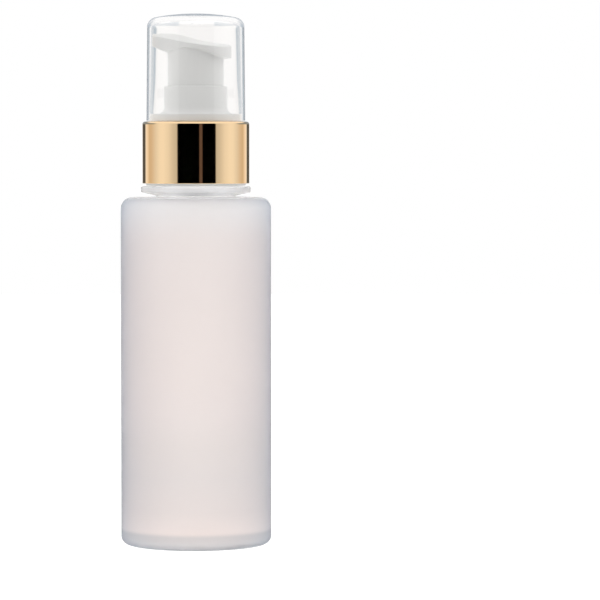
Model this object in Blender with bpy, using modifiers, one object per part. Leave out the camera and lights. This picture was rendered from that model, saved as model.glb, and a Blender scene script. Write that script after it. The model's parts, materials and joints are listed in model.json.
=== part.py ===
"""Lotion pump bottle: a frosted cylinder bottle with a screw neck, a treatment pump and a clear overcap.

Everything is in metres, +Z up, with the origin at the centre of the bottle's base. The spout points to -X.
"""

import math

import bmesh
import bpy
import numpy as np
from mathutils import Matrix, Vector

# Bottle body
BODY_RADIUS = 0.0200
BODY_WALL = 0.0009
BODY_HEIGHT = 0.0925
SHOULDER_ROUND = 0.0031
SHOULDER_RISE = 0.0003
HEEL_ROUND = 0.00265
STANDING_RING_WIDTH = 0.0018
PUSH_UP_HEIGHT = 0.0034
BASE_WALL = 0.0014
PUSH_UP_SHARES = ((0.92, 0.24), (0.76, 0.60), (0.50, 0.86), (0.24, 0.97))
GATE_RADIUS = 0.0016
GATE_HEIGHT = 0.0004

# Bottle neck: the support ring, the plain finish above it and its thread
NECK_RADIUS = 0.0108
NECK_BORE_RADIUS = 0.0093
NECK_HEIGHT = 0.0165
GROOVE_RADIUS = 0.0103
RING_RADIUS = 0.0146
RING_HEIGHT = 0.0025
RING_EDGE_HEIGHT = 0.0015
RING_EDGE_BREAK = 0.0004
RIM_BREAK = 0.0004
THREAD_PITCH = 0.003175
THREAD_TURNS = 1.5
THREAD_DEPTH = 0.00105
THREAD_ROOT_WIDTH = 0.0016
THREAD_CREST_WIDTH = 0.0007
THREAD_DROP = 0.0022
THREAD_FADE_TURNS = 0.12

# Clearances that the whole assembly shares
SEAT_GAP = 0.0001
SLIDE_GAP = 0.0002
THREAD_GAP = 0.0003

# Screw closure and the metal shell over it
CLOSURE_OUTER_RADIUS = 0.0136
CLOSURE_LIP_RADIUS = 0.0132
CLOSURE_LIP_HEIGHT = 0.0006
CLOSURE_DECK = 0.0009
CLOSURE_HOLE_GAP = 0.00035
CLOSURE_THREAD_REACH = 0.00035
SHELL_WALL = 0.00045
SHELL_BOND_GAP = 0.0002
SHELL_ROUND = 0.0008
SHELL_HOLE_MARGIN = 0.0004

# Neck gasket and pump housing
GASKET_THICKNESS = 0.0010
FLANGE_THICKNESS = 0.0008
FLANGE_RADIUS = 0.0106
CUP_WALL = 0.0009
CUP_DEPTH = 0.0066
CUP_FLOOR = 0.0010
CUP_CONE_HEIGHT = 0.0020
CUP_NECK_GAP = 0.0003
BARREL_BORE_RADIUS = 0.0038
BARREL_WALL = 0.0008
BARREL_LENGTH = 0.0199
BALL_CHAMBER_RADIUS = 0.00235
BALL_CHAMBER_HEIGHT = 0.0037
BALL_CHAMBER_WALL = 0.0010
BALL_SEAT_HEIGHT = 0.0012
INLET_RADIUS = 0.0012
INLET_LENGTH = 0.0006
TAIL_WALL = 0.0009
TAIL_LENGTH = 0.0090
VENT_RADIUS = 0.0004
VENT_DROP = 0.0025
NIB_WIDTH = 0.0008
NIB_HEIGHT = 0.0006
NIB_REACH = 0.0010
NIB_COUNT = 3
SNAP_DEPTH = 0.00025
SNAP_HEIGHT = 0.0008
SNAP_DROP = 0.0016

# Check ball
BALL_RADIUS = 0.00175
BALL_SUBDIVISIONS = 3
BALL_LIFT = 0.0008
BALL_SEAT_GAP = 0.00005

# Dip tube
DIP_TUBE_RADIUS = 0.0020
DIP_TUBE_WALL = 0.00065
DIP_TUBE_FLOOR_GAP = 0.0014
DIP_TUBE_CUT_ANGLE = math.radians(35)

# Chaplet: the fixed guide tower and the flange that the overcap grips
CHAPLET_FLANGE_RADIUS = 0.0123
CHAPLET_FLANGE_HEIGHT = 0.0019
CHAPLET_FLANGE_BREAK = 0.0002
CHAPLET_FLOOR = 0.0008
TOWER_RADIUS = 0.0084
TOWER_FLARE = 0.0019
TOWER_RIM_BREAK = 0.0003
HUB_WALL = 0.0009
HUB_LENGTH = 0.0040
GUIDE_WALL = 0.0008
GUIDE_LENGTH = 0.0074

# Plunger: actuator, stem, piston rod and piston
STROKE = 0.0055
SKIRT_RADIUS = 0.00743
SKIRT_WALL = 0.0009
SKIRT_IN_TOWER = 0.0026
SKIRT_END_GAP = 0.0005
SKIRT_LENGTH = 0.0128
SKIRT_CEILING = 0.0118
BOSS_WALL = 0.0011
BOSS_RECESS = 0.0002
BOSS_SOCKET_TOP_DROP = 0.0022
HEAD_LENGTH = 0.0210
HEAD_BACK_REACH = 0.0095
HEAD_HALF_WIDTH = 0.0086
HEAD_HEIGHT = 0.0066
HEAD_RISE = 0.0099
HEAD_EDGE_BREAK = 0.00022
SPOUT_BORE_RADIUS = 0.0009
SPOUT_DUCT_WALL = 0.0008
SPOUT_BORE_DROP = 0.0015
DUCT_FOOT_RISE = 0.0001
GUSSET_REACH = 0.0016
GUSSET_HEIGHT = 0.0018
GUSSET_HALF_WIDTH = 0.0030
GUSSET_TOP_SHARE = 0.46
STEM_RADIUS = 0.0029
STEM_WALL = 0.00115
ROD_SHANK_RADIUS = 0.0016
ROD_SHANK_LENGTH = 0.0120
ROD_FLUTE_WIDTH = 0.0007
ROD_FLUTE_DEPTH = 0.0006
ROD_FLUTE_COUNT = 4
ROD_SEAT_HEIGHT = 0.0008
ROD_DISC_RADIUS = 0.0032
ROD_DISC_HEIGHT = 0.0009
ROD_PILOT_RADIUS = 0.0022
ROD_PILOT_HEIGHT = 0.0022
PISTON_LENGTH = 0.0042
PISTON_LIP_HEIGHT = 0.0010
PISTON_WAIST_RADIUS = 0.0031
PISTON_HOLLOW_DEPTH = 0.0009
PISTON_HUB_RADIUS = 0.0024
PISTON_BORE_GAP = 0.0002
PISTON_LIP_GAP = 0.00008
PISTON_SLIP = 0.0008

# Return spring
SPRING_WIRE_RADIUS = 0.0003
SPRING_RADIUS = 0.00285
SPRING_ACTIVE_TURNS = 6.5
SPRING_END_TURNS = 1.0
SPRING_POINTS_PER_TURN = 9
SPRING_END_PITCH_SHARE = 1.75
SPRING_LEAST_GAP = 0.0004

# Overcap
CAP_MOUTH_RADIUS = 0.01318
CAP_TOP_RADIUS = 0.01297
CAP_HEIGHT = 0.0285
CAP_WALL = 0.0010
CAP_TOP_WALL = 0.0016
CAP_GRIP_GAP = 0.00012
CAP_GRIP_HEIGHT = 0.0026
CAP_TOP_ROUND = 0.0026
CAP_DOME_RISE = 0.0010
CAP_CEILING_RISE = 0.0005
CAP_GATE_RADIUS = 0.0014
CAP_GATE_HEIGHT = 0.0003
CAP_MOUTH_BREAK = 0.0002

# Head outline, from the spout's tip to the back: place along the head, half width, ridge, edge and underside
HEAD_STATION_SHARES = (
    (0.000, 0.256, 0.970, 0.902, 0.576),
    (0.040, 0.285, 0.982, 0.871, 0.508),
    (0.098, 0.331, 0.994, 0.841, 0.447),
    (0.183, 0.430, 1.000, 0.788, 0.427),
    (0.288, 0.605, 0.973, 0.712, 0.424),
    (0.402, 0.820, 0.902, 0.629, 0.417),
    (0.517, 0.959, 0.803, 0.564, 0.394),
    (0.621, 1.000, 0.709, 0.512, 0.341),
    (0.717, 0.971, 0.644, 0.477, 0.250),
    (0.802, 0.860, 0.603, 0.455, 0.136),
    (0.879, 0.692, 0.576, 0.442, 0.048),
    (0.941, 0.477, 0.553, 0.439, 0.008),
    (0.981, 0.256, 0.523, 0.439, 0.000),
    (0.998, 0.081, 0.485, 0.439, 0.000),
)
HEAD_CROWN_SHARES = (-0.84, -0.6, -0.3, 0.0, 0.3, 0.6, 0.84)

# How finely round forms are drawn
LARGE_STEPS = 48
MIDDLE_STEPS = 40
SMALL_STEPS = 24
TUBE_STEPS = 16
ROUND_STEPS = 4
CUT_OVERRUN = 0.0010
WELD_DISTANCE = 0.000001
THREAD_SINK = 0.0003
SHARP_ANGLE = math.radians(30)

# Heights that follow from the sizes above
SHOULDER_Z = BODY_HEIGHT
NECK_FOOT_Z = SHOULDER_Z + SHOULDER_RISE
RING_TOP_Z = NECK_FOOT_Z + RING_HEIGHT
RIM_Z = SHOULDER_Z + NECK_HEIGHT
GASKET_Z = RIM_Z + SEAT_GAP
FLANGE_Z = GASKET_Z + GASKET_THICKNESS + SEAT_GAP
FLANGE_TOP_Z = FLANGE_Z + FLANGE_THICKNESS
DECK_Z = FLANGE_TOP_Z + SEAT_GAP
DECK_TOP_Z = DECK_Z + CLOSURE_DECK
SHELL_TOP_Z = DECK_TOP_Z + SEAT_GAP + SHELL_WALL
CLOSURE_FOOT_Z = RING_TOP_Z + SLIDE_GAP
SHELL_FOOT_Z = CLOSURE_FOOT_Z + CLOSURE_LIP_HEIGHT
CHAPLET_Z = SHELL_TOP_Z + SEAT_GAP
TOWER_TOP_Z = CHAPLET_Z + CHAPLET_FLOOR + SKIRT_END_GAP + STROKE + SKIRT_IN_TOWER
CUP_FLOOR_Z = FLANGE_TOP_Z - CUP_DEPTH
LEDGE_Z = CUP_FLOOR_Z - BARREL_LENGTH
BALL_SEAT_TOP_Z = LEDGE_Z - BALL_CHAMBER_HEIGHT
BALL_SEAT_Z = BALL_SEAT_TOP_Z - BALL_SEAT_HEIGHT
TUBE_STOP_Z = BALL_SEAT_Z - INLET_LENGTH
TAIL_Z = TUBE_STOP_Z - TAIL_LENGTH
SKIRT_Z = TOWER_TOP_Z - SKIRT_IN_TOWER
BOSS_Z = SKIRT_Z + BOSS_RECESS
CEILING_Z = SKIRT_Z + SKIRT_CEILING
SOCKET_TOP_Z = CEILING_Z - BOSS_SOCKET_TOP_DROP
HEAD_Z = SKIRT_Z + HEAD_RISE
GUIDE_Z = CHAPLET_Z - GUIDE_LENGTH
STEM_Z = GUIDE_Z - SEAT_GAP
PISTON_TOP_Z = STEM_Z - SEAT_GAP - PISTON_SLIP
PISTON_Z = PISTON_TOP_Z - PISTON_LENGTH
ROD_DISC_TOP_Z = PISTON_Z - SEAT_GAP
ROD_DISC_Z = ROD_DISC_TOP_Z - ROD_DISC_HEIGHT

# Radii that follow from the sizes above
NECK_THREAD_RADIUS = NECK_RADIUS + THREAD_DEPTH
CLOSURE_BORE_RADIUS = NECK_THREAD_RADIUS + THREAD_GAP
CLOSURE_CREST_RADIUS = NECK_RADIUS + CLOSURE_THREAD_REACH
SHELL_BORE_RADIUS = CLOSURE_OUTER_RADIUS + SHELL_BOND_GAP
SHELL_RADIUS = SHELL_BORE_RADIUS + SHELL_WALL
CUP_RADIUS = NECK_BORE_RADIUS - CUP_NECK_GAP
CUP_BORE_RADIUS = CUP_RADIUS - CUP_WALL
HUB_RADIUS = CUP_BORE_RADIUS - SEAT_GAP
CLOSURE_HOLE_RADIUS = HUB_RADIUS + CLOSURE_HOLE_GAP
SHELL_HOLE_RADIUS = CLOSURE_HOLE_RADIUS + SHELL_HOLE_MARGIN
GASKET_BORE_RADIUS = CUP_RADIUS + SLIDE_GAP
BARREL_RADIUS = BARREL_BORE_RADIUS + BARREL_WALL
BALL_CASE_RADIUS = BALL_CHAMBER_RADIUS + BALL_CHAMBER_WALL
TAIL_BORE_RADIUS = DIP_TUBE_RADIUS + SEAT_GAP
TAIL_RADIUS = TAIL_BORE_RADIUS + TAIL_WALL
TOWER_BORE_RADIUS = SKIRT_RADIUS + SLIDE_GAP
GUIDE_BORE_RADIUS = STEM_RADIUS + SLIDE_GAP
GUIDE_RADIUS = GUIDE_BORE_RADIUS + GUIDE_WALL
BOSS_BORE_RADIUS = STEM_RADIUS + SEAT_GAP
BOSS_RADIUS = BOSS_BORE_RADIUS + BOSS_WALL
STEM_BORE_RADIUS = STEM_RADIUS - STEM_WALL
PISTON_RADIUS = BARREL_BORE_RADIUS - PISTON_LIP_GAP
CAP_GRIP_RADIUS = CHAPLET_FLANGE_RADIUS + CAP_GRIP_GAP

PART_NAME = "pump_bottle"


def empty_scene():
    """Remove every object that the file opens with."""
    for obj in list(bpy.data.objects):
        bpy.data.objects.remove(obj, do_unlink=True)


def new_collection(name):
    collection = bpy.data.collections.new(name)
    bpy.context.scene.collection.children.link(collection)
    return collection


def new_material(name, colour, roughness, metallic=0.0):
    material = bpy.data.materials.new(name)
    material.use_nodes = True
    shader = material.node_tree.nodes["Principled BSDF"]
    shader.inputs["Base Color"].default_value = (*colour, 1.0)
    shader.inputs["Roughness"].default_value = roughness
    shader.inputs["Metallic"].default_value = metallic
    material.diffuse_color = (*colour, 1.0)
    return material


def new_object(name, mesh, collection, material=None):
    obj = bpy.data.objects.new(name, mesh)
    collection.objects.link(obj)
    if material:
        mesh.materials.append(material)
    return obj


def shade_round(mesh):
    mesh.shade_smooth()
    mesh.set_sharp_from_angle(angle=SHARP_ANGLE)


def evaluated_mesh(obj):
    """The mesh that the object's modifiers, or its curve settings, make."""
    graph = bpy.context.evaluated_depsgraph_get()
    return bpy.data.meshes.new_from_object(obj.evaluated_get(graph))


def arc(centre, radius, start, end, steps=ROUND_STEPS):
    """Points along an arc in the (radius, height) plane, with both angles in degrees."""
    angles = np.radians(np.linspace(start, end, steps + 1))
    return [
        (centre[0] + radius * math.cos(angle), centre[1] + radius * math.sin(angle)) for angle in angles
    ]


def turned(name, profile, steps, collection, material=None, closed=True):
    """Turn a (radius, height) profile round Z. It runs up the inside and down the outside."""
    mesh = bpy.data.meshes.new(name)
    count = len(profile)
    edges = [(index, index + 1) for index in range(count - 1)]
    if closed:
        edges.append((count - 1, 0))
    mesh.from_pydata([(radius, 0, height) for radius, height in profile], edges, [])
    guide = new_object(name, mesh, collection)
    screw = guide.modifiers.new("Turn", "SCREW")
    screw.axis = "Z"
    screw.angle = math.tau
    screw.steps = steps
    screw.render_steps = steps
    screw.use_merge_vertices = True
    screw.merge_threshold = WELD_DISTANCE
    solid = evaluated_mesh(guide)
    bpy.data.objects.remove(guide, do_unlink=True)
    solid.name = name
    shade_round(solid)
    return new_object(name, solid, collection, material)


def lofted(name, sections, collection, material=None):
    """Skin a row of point loops that have the same count, and close both ends."""
    mesh = bpy.data.meshes.new(name)
    shape = bmesh.new()
    rows = [[shape.verts.new(point) for point in section] for section in sections]
    for row, following in zip(rows, rows[1:]):
        for index in range(len(row)):
            after = (index + 1) % len(row)
            shape.faces.new((row[index], row[after], following[after], following[index]))
    shape.faces.new(list(reversed(rows[0])))
    shape.faces.new(rows[-1])
    bmesh.ops.recalc_face_normals(shape, faces=shape.faces)
    shape.to_mesh(mesh)
    shape.free()
    shade_round(mesh)
    return new_object(name, mesh, collection, material)


def rod_between(name, start, end, radius, steps, collection):
    """A plain cylinder from one point to another."""
    start, end = Vector(start), Vector(end)
    mesh = bpy.data.meshes.new(name)
    shape = bmesh.new()
    bmesh.ops.create_cone(
        shape,
        cap_ends=True,
        segments=steps,
        radius1=radius,
        radius2=radius,
        depth=(end - start).length,
    )
    turn = (end - start).to_track_quat("Z", "Y").to_matrix().to_4x4()
    shape.transform(Matrix.Translation((start + end) / 2) @ turn)
    shape.to_mesh(mesh)
    shape.free()
    return new_object(name, mesh, collection)


def block(name, low, high, collection):
    """A plain box between two corners."""
    low, high = Vector(low), Vector(high)
    mesh = bpy.data.meshes.new(name)
    shape = bmesh.new()
    bmesh.ops.create_cube(shape, size=1)
    shape.transform(Matrix.Translation((low + high) / 2) @ Matrix.Diagonal((*(high - low), 1)))
    shape.to_mesh(mesh)
    shape.free()
    return new_object(name, mesh, collection)


def boolean(obj, other, operation):
    """Cut, join or intersect with another object, which stays in the file as a hidden wire helper."""
    modifier = obj.modifiers.new(other.name, "BOOLEAN")
    modifier.operation = operation
    modifier.object = other
    modifier.solver = "EXACT"
    other.hide_render = True
    other.display_type = "WIRE"


def thread_ridge(name, wall_radius, crest_radius, start_z, collection):
    """A right-handed helical ridge on a wall, with both ends fading into it.

    Its sections are trapezoids. The root lies inside the wall, on the side away from the crest.
    """
    side = math.copysign(1, crest_radius - wall_radius)
    count = round(THREAD_TURNS * LARGE_STEPS)
    sections = []
    for index in range(count + 1):
        turn = THREAD_TURNS * index / count
        fade = min(1, turn / THREAD_FADE_TURNS, (THREAD_TURNS - turn) / THREAD_FADE_TURNS)
        root = wall_radius - side * THREAD_SINK
        crest = root + (crest_radius - root) * fade
        angle = math.tau * turn
        height = start_z + THREAD_PITCH * turn
        outline = (
            (root, -THREAD_ROOT_WIDTH / 2),
            (crest, -THREAD_CREST_WIDTH / 2),
            (crest, THREAD_CREST_WIDTH / 2),
            (root, THREAD_ROOT_WIDTH / 2),
        )
        if 0 < index < count:
            sections.append(
                [(r * math.cos(angle), r * math.sin(angle), height + lift) for r, lift in outline]
            )
    return lofted(name, sections, collection)


def thread_start_z():
    """Height of the neck thread's lower end. The upper end lies THREAD_DROP under the rim."""
    return RIM_Z - THREAD_DROP - THREAD_PITCH * THREAD_TURNS


def thread_half_width(depth_share):
    """Half the ridge's width at a share of its depth, from root to crest."""
    return (THREAD_ROOT_WIDTH + (THREAD_CREST_WIDTH - THREAD_ROOT_WIDTH) * depth_share) / 2


def closure_thread_z():
    """The closure's ridge runs under the neck's, one flank gap away where the two overlap."""
    overlap = (NECK_THREAD_RADIUS + CLOSURE_CREST_RADIUS) / 2
    neck_share = (overlap - NECK_RADIUS) / THREAD_DEPTH
    closure_depth = CLOSURE_BORE_RADIUS - CLOSURE_CREST_RADIUS
    closure_share = (CLOSURE_BORE_RADIUS - overlap) / closure_depth
    widths = thread_half_width(neck_share) + thread_half_width(closure_share)
    return thread_start_z() - widths - THREAD_GAP


def bottle_floor_z():
    """Height of the inside of the base on the axis."""
    return PUSH_UP_HEIGHT + BASE_WALL


def push_up_radius():
    return BODY_RADIUS - HEEL_ROUND - STANDING_RING_WIDTH


def make_bottle(parts, cutters, material):
    inner_radius = BODY_RADIUS - BODY_WALL
    inner_shoulder = SHOULDER_ROUND - BODY_WALL
    inner_shoulder_z = SHOULDER_Z - BODY_WALL
    ring_radius = push_up_radius()
    floor = [(0, bottle_floor_z())]
    floor += [
        (ring_radius * share, BASE_WALL + PUSH_UP_HEIGHT * rise) for share, rise in reversed(PUSH_UP_SHARES)
    ]
    inside = floor + arc((inner_radius - HEEL_ROUND, BASE_WALL + HEEL_ROUND), HEEL_ROUND, -90, 0)
    inside += arc((inner_radius - inner_shoulder, inner_shoulder_z - inner_shoulder), inner_shoulder, 0, 90)
    inside += [
        (NECK_BORE_RADIUS, inner_shoulder_z),
        (NECK_BORE_RADIUS, RIM_Z),
    ]
    neck = [
        (NECK_RADIUS - RIM_BREAK, RIM_Z),
        (NECK_RADIUS, RIM_Z - RIM_BREAK),
        (NECK_RADIUS, RING_TOP_Z),
        (RING_RADIUS - RING_EDGE_BREAK, RING_TOP_Z),
        (RING_RADIUS, RING_TOP_Z - RING_EDGE_BREAK),
        (RING_RADIUS, RING_TOP_Z - RING_EDGE_HEIGHT + RING_EDGE_BREAK),
        (RING_RADIUS - RING_EDGE_BREAK, RING_TOP_Z - RING_EDGE_HEIGHT),
        (GROOVE_RADIUS, NECK_FOOT_Z),
    ]
    outside = arc((BODY_RADIUS - SHOULDER_ROUND, SHOULDER_Z - SHOULDER_ROUND), SHOULDER_ROUND, 90, 0)
    outside += arc((BODY_RADIUS - HEEL_ROUND, HEEL_ROUND), HEEL_ROUND, 0, -90)
    base = [(ring_radius, 0)]
    base += [(ring_radius * share, PUSH_UP_HEIGHT * rise) for share, rise in PUSH_UP_SHARES]
    base[-1:] = [
        (GATE_RADIUS, PUSH_UP_HEIGHT),
        (GATE_RADIUS, PUSH_UP_HEIGHT - GATE_HEIGHT),
        (0, PUSH_UP_HEIGHT - GATE_HEIGHT),
    ]
    profile = inside + neck + outside + base
    bottle = turned("bottle", profile, LARGE_STEPS, parts, material, closed=False)
    ridge = thread_ridge(
        "neck_thread", NECK_RADIUS, NECK_THREAD_RADIUS, thread_start_z(), cutters
    )
    boolean(bottle, ridge, "UNION")
    return bottle


def make_gasket(parts, material):
    profile = [
        (GASKET_BORE_RADIUS, GASKET_Z),
        (GASKET_BORE_RADIUS, GASKET_Z + GASKET_THICKNESS),
        (FLANGE_RADIUS, GASKET_Z + GASKET_THICKNESS),
        (FLANGE_RADIUS, GASKET_Z),
    ]
    return turned("neck_gasket", profile, MIDDLE_STEPS, parts, material)


def make_closure(parts, cutters, material):
    profile = [
        (CLOSURE_BORE_RADIUS, CLOSURE_FOOT_Z),
        (CLOSURE_BORE_RADIUS, DECK_Z),
        (CLOSURE_HOLE_RADIUS, DECK_Z),
        (CLOSURE_HOLE_RADIUS, DECK_TOP_Z),
        (CLOSURE_OUTER_RADIUS - SHELL_ROUND, DECK_TOP_Z),
        (CLOSURE_OUTER_RADIUS, DECK_TOP_Z - SHELL_ROUND),
        (CLOSURE_OUTER_RADIUS, SHELL_FOOT_Z),
        (CLOSURE_LIP_RADIUS, SHELL_FOOT_Z),
        (CLOSURE_LIP_RADIUS, CLOSURE_FOOT_Z),
    ]
    closure = turned("screw_closure", profile, LARGE_STEPS, parts, material)
    ridge = thread_ridge(
        "closure_thread", CLOSURE_BORE_RADIUS, CLOSURE_CREST_RADIUS, closure_thread_z(), cutters
    )
    boolean(closure, ridge, "UNION")
    return closure


def make_shell(parts, material):
    inner_round = SHELL_ROUND - SHELL_WALL
    profile = [(SHELL_BORE_RADIUS, SHELL_FOOT_Z)]
    profile += arc(
        (SHELL_BORE_RADIUS - inner_round, SHELL_TOP_Z - SHELL_WALL - inner_round), inner_round, 0, 90, 2
    )
    profile += [(SHELL_HOLE_RADIUS, SHELL_TOP_Z - SHELL_WALL), (SHELL_HOLE_RADIUS, SHELL_TOP_Z)]
    profile += arc((SHELL_RADIUS - SHELL_ROUND, SHELL_TOP_Z - SHELL_ROUND), SHELL_ROUND, 90, 0)
    profile += [(SHELL_RADIUS, SHELL_FOOT_Z)]
    return turned("collar_shell", profile, LARGE_STEPS, parts, material)


def make_housing(parts, cutters, material):
    snap_z = FLANGE_TOP_Z - SNAP_DROP
    inside = [
        (TAIL_BORE_RADIUS, TAIL_Z),
        (TAIL_BORE_RADIUS, TUBE_STOP_Z),
        (INLET_RADIUS, TUBE_STOP_Z),
        (INLET_RADIUS, BALL_SEAT_Z),
        (BALL_CHAMBER_RADIUS, BALL_SEAT_TOP_Z),
        (BALL_CHAMBER_RADIUS, LEDGE_Z),
        (BARREL_BORE_RADIUS, LEDGE_Z),
        (BARREL_BORE_RADIUS, CUP_FLOOR_Z),
        (CUP_BORE_RADIUS, CUP_FLOOR_Z),
        (CUP_BORE_RADIUS, snap_z - SNAP_HEIGHT),
        (CUP_BORE_RADIUS + SNAP_DEPTH, snap_z - SNAP_HEIGHT / 2),
        (CUP_BORE_RADIUS, snap_z),
        (CUP_BORE_RADIUS, FLANGE_TOP_Z),
    ]
    cup_foot_z = CUP_FLOOR_Z - CUP_FLOOR
    barrel_foot_z = LEDGE_Z - CUP_FLOOR
    outside = [
        (FLANGE_RADIUS, FLANGE_TOP_Z),
        (FLANGE_RADIUS, FLANGE_Z),
        (CUP_RADIUS, FLANGE_Z),
        (CUP_RADIUS, cup_foot_z),
        (BARREL_RADIUS, cup_foot_z - CUP_CONE_HEIGHT),
        (BARREL_RADIUS, barrel_foot_z),
        (BALL_CASE_RADIUS, barrel_foot_z - BARREL_RADIUS + BALL_CASE_RADIUS),
        (BALL_CASE_RADIUS, BALL_SEAT_Z),
        (TAIL_RADIUS, TUBE_STOP_Z),
        (TAIL_RADIUS, TAIL_Z),
    ]
    housing = turned("pump_housing", inside + outside, SMALL_STEPS, parts, material)
    nib_top_z = ball_centre_z() + BALL_RADIUS + BALL_LIFT + SEAT_GAP + NIB_HEIGHT
    for index in range(NIB_COUNT):
        nib = block(
            f"ball_nib_{index + 1}",
            (BALL_CHAMBER_RADIUS - NIB_REACH, -NIB_WIDTH / 2, nib_top_z - NIB_HEIGHT),
            (BALL_CHAMBER_RADIUS + BALL_CHAMBER_WALL / 2, NIB_WIDTH / 2, nib_top_z),
            cutters,
        )
        nib.data.transform(Matrix.Rotation(math.tau * index / NIB_COUNT, 4, "Z"))
        boolean(housing, nib, "UNION")
    vent_z = CUP_FLOOR_Z - CUP_FLOOR - CUP_CONE_HEIGHT - VENT_DROP
    vent = rod_between(
        "vent_cutter",
        (BARREL_BORE_RADIUS - CUT_OVERRUN, 0, vent_z),
        (BARREL_RADIUS + CUT_OVERRUN, 0, vent_z),
        VENT_RADIUS,
        TUBE_STEPS,
        cutters,
    )
    boolean(housing, vent, "DIFFERENCE")
    return housing


def ball_centre_z():
    """Centre of the ball where it lies in its conical seat, one small gap off the cone."""
    slope = math.atan2(BALL_CHAMBER_RADIUS - INLET_RADIUS, BALL_SEAT_HEIGHT)
    apex_z = BALL_SEAT_Z - INLET_RADIUS / math.tan(slope)
    return apex_z + (BALL_RADIUS + BALL_SEAT_GAP) / math.sin(slope)


def make_ball(parts, material):
    mesh = bpy.data.meshes.new("check_ball")
    shape = bmesh.new()
    bmesh.ops.create_icosphere(shape, subdivisions=BALL_SUBDIVISIONS, radius=BALL_RADIUS)
    shape.transform(Matrix.Translation((0, 0, ball_centre_z())))
    shape.to_mesh(mesh)
    shape.free()
    shade_round(mesh)
    return new_object("check_ball", mesh, parts, material)


def make_dip_tube(parts, cutters, material):
    top_z = TUBE_STOP_Z - SEAT_GAP
    foot_z = bottle_floor_z() + DIP_TUBE_FLOOR_GAP
    bore = DIP_TUBE_RADIUS - DIP_TUBE_WALL
    profile = [(bore, foot_z), (bore, top_z), (DIP_TUBE_RADIUS, top_z), (DIP_TUBE_RADIUS, foot_z)]
    tube = turned("dip_tube", profile, TUBE_STEPS, parts, material)
    reach = DIP_TUBE_RADIUS / math.cos(DIP_TUBE_CUT_ANGLE) + CUT_OVERRUN
    cutter = block("dip_tube_cutter", (-reach, -reach, -reach), (reach, reach, 0), cutters)
    middle_z = foot_z + DIP_TUBE_RADIUS * math.tan(DIP_TUBE_CUT_ANGLE)
    cutter.data.transform(
        Matrix.Translation((0, 0, middle_z)) @ Matrix.Rotation(DIP_TUBE_CUT_ANGLE, 4, "Y")
    )
    boolean(tube, cutter, "DIFFERENCE")
    return tube


def make_chaplet(parts, material):
    floor_top_z = CHAPLET_Z + CHAPLET_FLOOR
    flange_top_z = CHAPLET_Z + CHAPLET_FLANGE_HEIGHT
    hub_z = CHAPLET_Z - HUB_LENGTH
    snap_z = FLANGE_TOP_Z - SNAP_DROP
    hub_bore = HUB_RADIUS - HUB_WALL
    inside = [
        (GUIDE_RADIUS, CHAPLET_Z),
        (GUIDE_RADIUS, GUIDE_Z),
        (GUIDE_BORE_RADIUS, GUIDE_Z),
        (GUIDE_BORE_RADIUS, floor_top_z),
        (TOWER_BORE_RADIUS, floor_top_z),
        (TOWER_BORE_RADIUS, TOWER_TOP_Z),
    ]
    tower = [(TOWER_RADIUS - TOWER_RIM_BREAK, TOWER_TOP_Z), (TOWER_RADIUS, TOWER_TOP_Z - TOWER_RIM_BREAK)]
    tower += arc((TOWER_RADIUS + TOWER_FLARE, flange_top_z + TOWER_FLARE), TOWER_FLARE, 180, 270)
    flange = [
        (CHAPLET_FLANGE_RADIUS - CHAPLET_FLANGE_BREAK, flange_top_z),
        (CHAPLET_FLANGE_RADIUS, flange_top_z - CHAPLET_FLANGE_BREAK),
        (CHAPLET_FLANGE_RADIUS, CHAPLET_Z),
        (HUB_RADIUS, CHAPLET_Z),
        (HUB_RADIUS, snap_z),
        (HUB_RADIUS + SNAP_DEPTH, snap_z - SNAP_HEIGHT / 2),
        (HUB_RADIUS, snap_z - SNAP_HEIGHT),
        (HUB_RADIUS, hub_z),
        (hub_bore, hub_z),
        (hub_bore, CHAPLET_Z),
    ]
    return turned("chaplet", inside + tower + flange, MIDDLE_STEPS, parts, material)


def head_section(share, width_share, ridge_share, edge_share, under_share):
    """One loop across the head: a flat underside, upright sides with a broken edge, and a crowned top."""
    x = HEAD_BACK_REACH - HEAD_LENGTH * (1 - share)
    half = HEAD_HALF_WIDTH * width_share
    ridge = HEAD_Z + HEAD_HEIGHT * ridge_share
    edge = HEAD_Z + HEAD_HEIGHT * edge_share
    under = HEAD_Z + HEAD_HEIGHT * under_share
    top_half = half - min(HEAD_EDGE_BREAK, half / 3)
    points = [(-half, under), (-half, edge - HEAD_EDGE_BREAK), (-top_half, edge)]
    points += [(half * y, edge + (ridge - edge) * (1 - y * y)) for y in HEAD_CROWN_SHARES]
    points += [(top_half, edge), (half, edge - HEAD_EDGE_BREAK), (half, under)]
    return [(x, y, z) for y, z in points]


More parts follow.
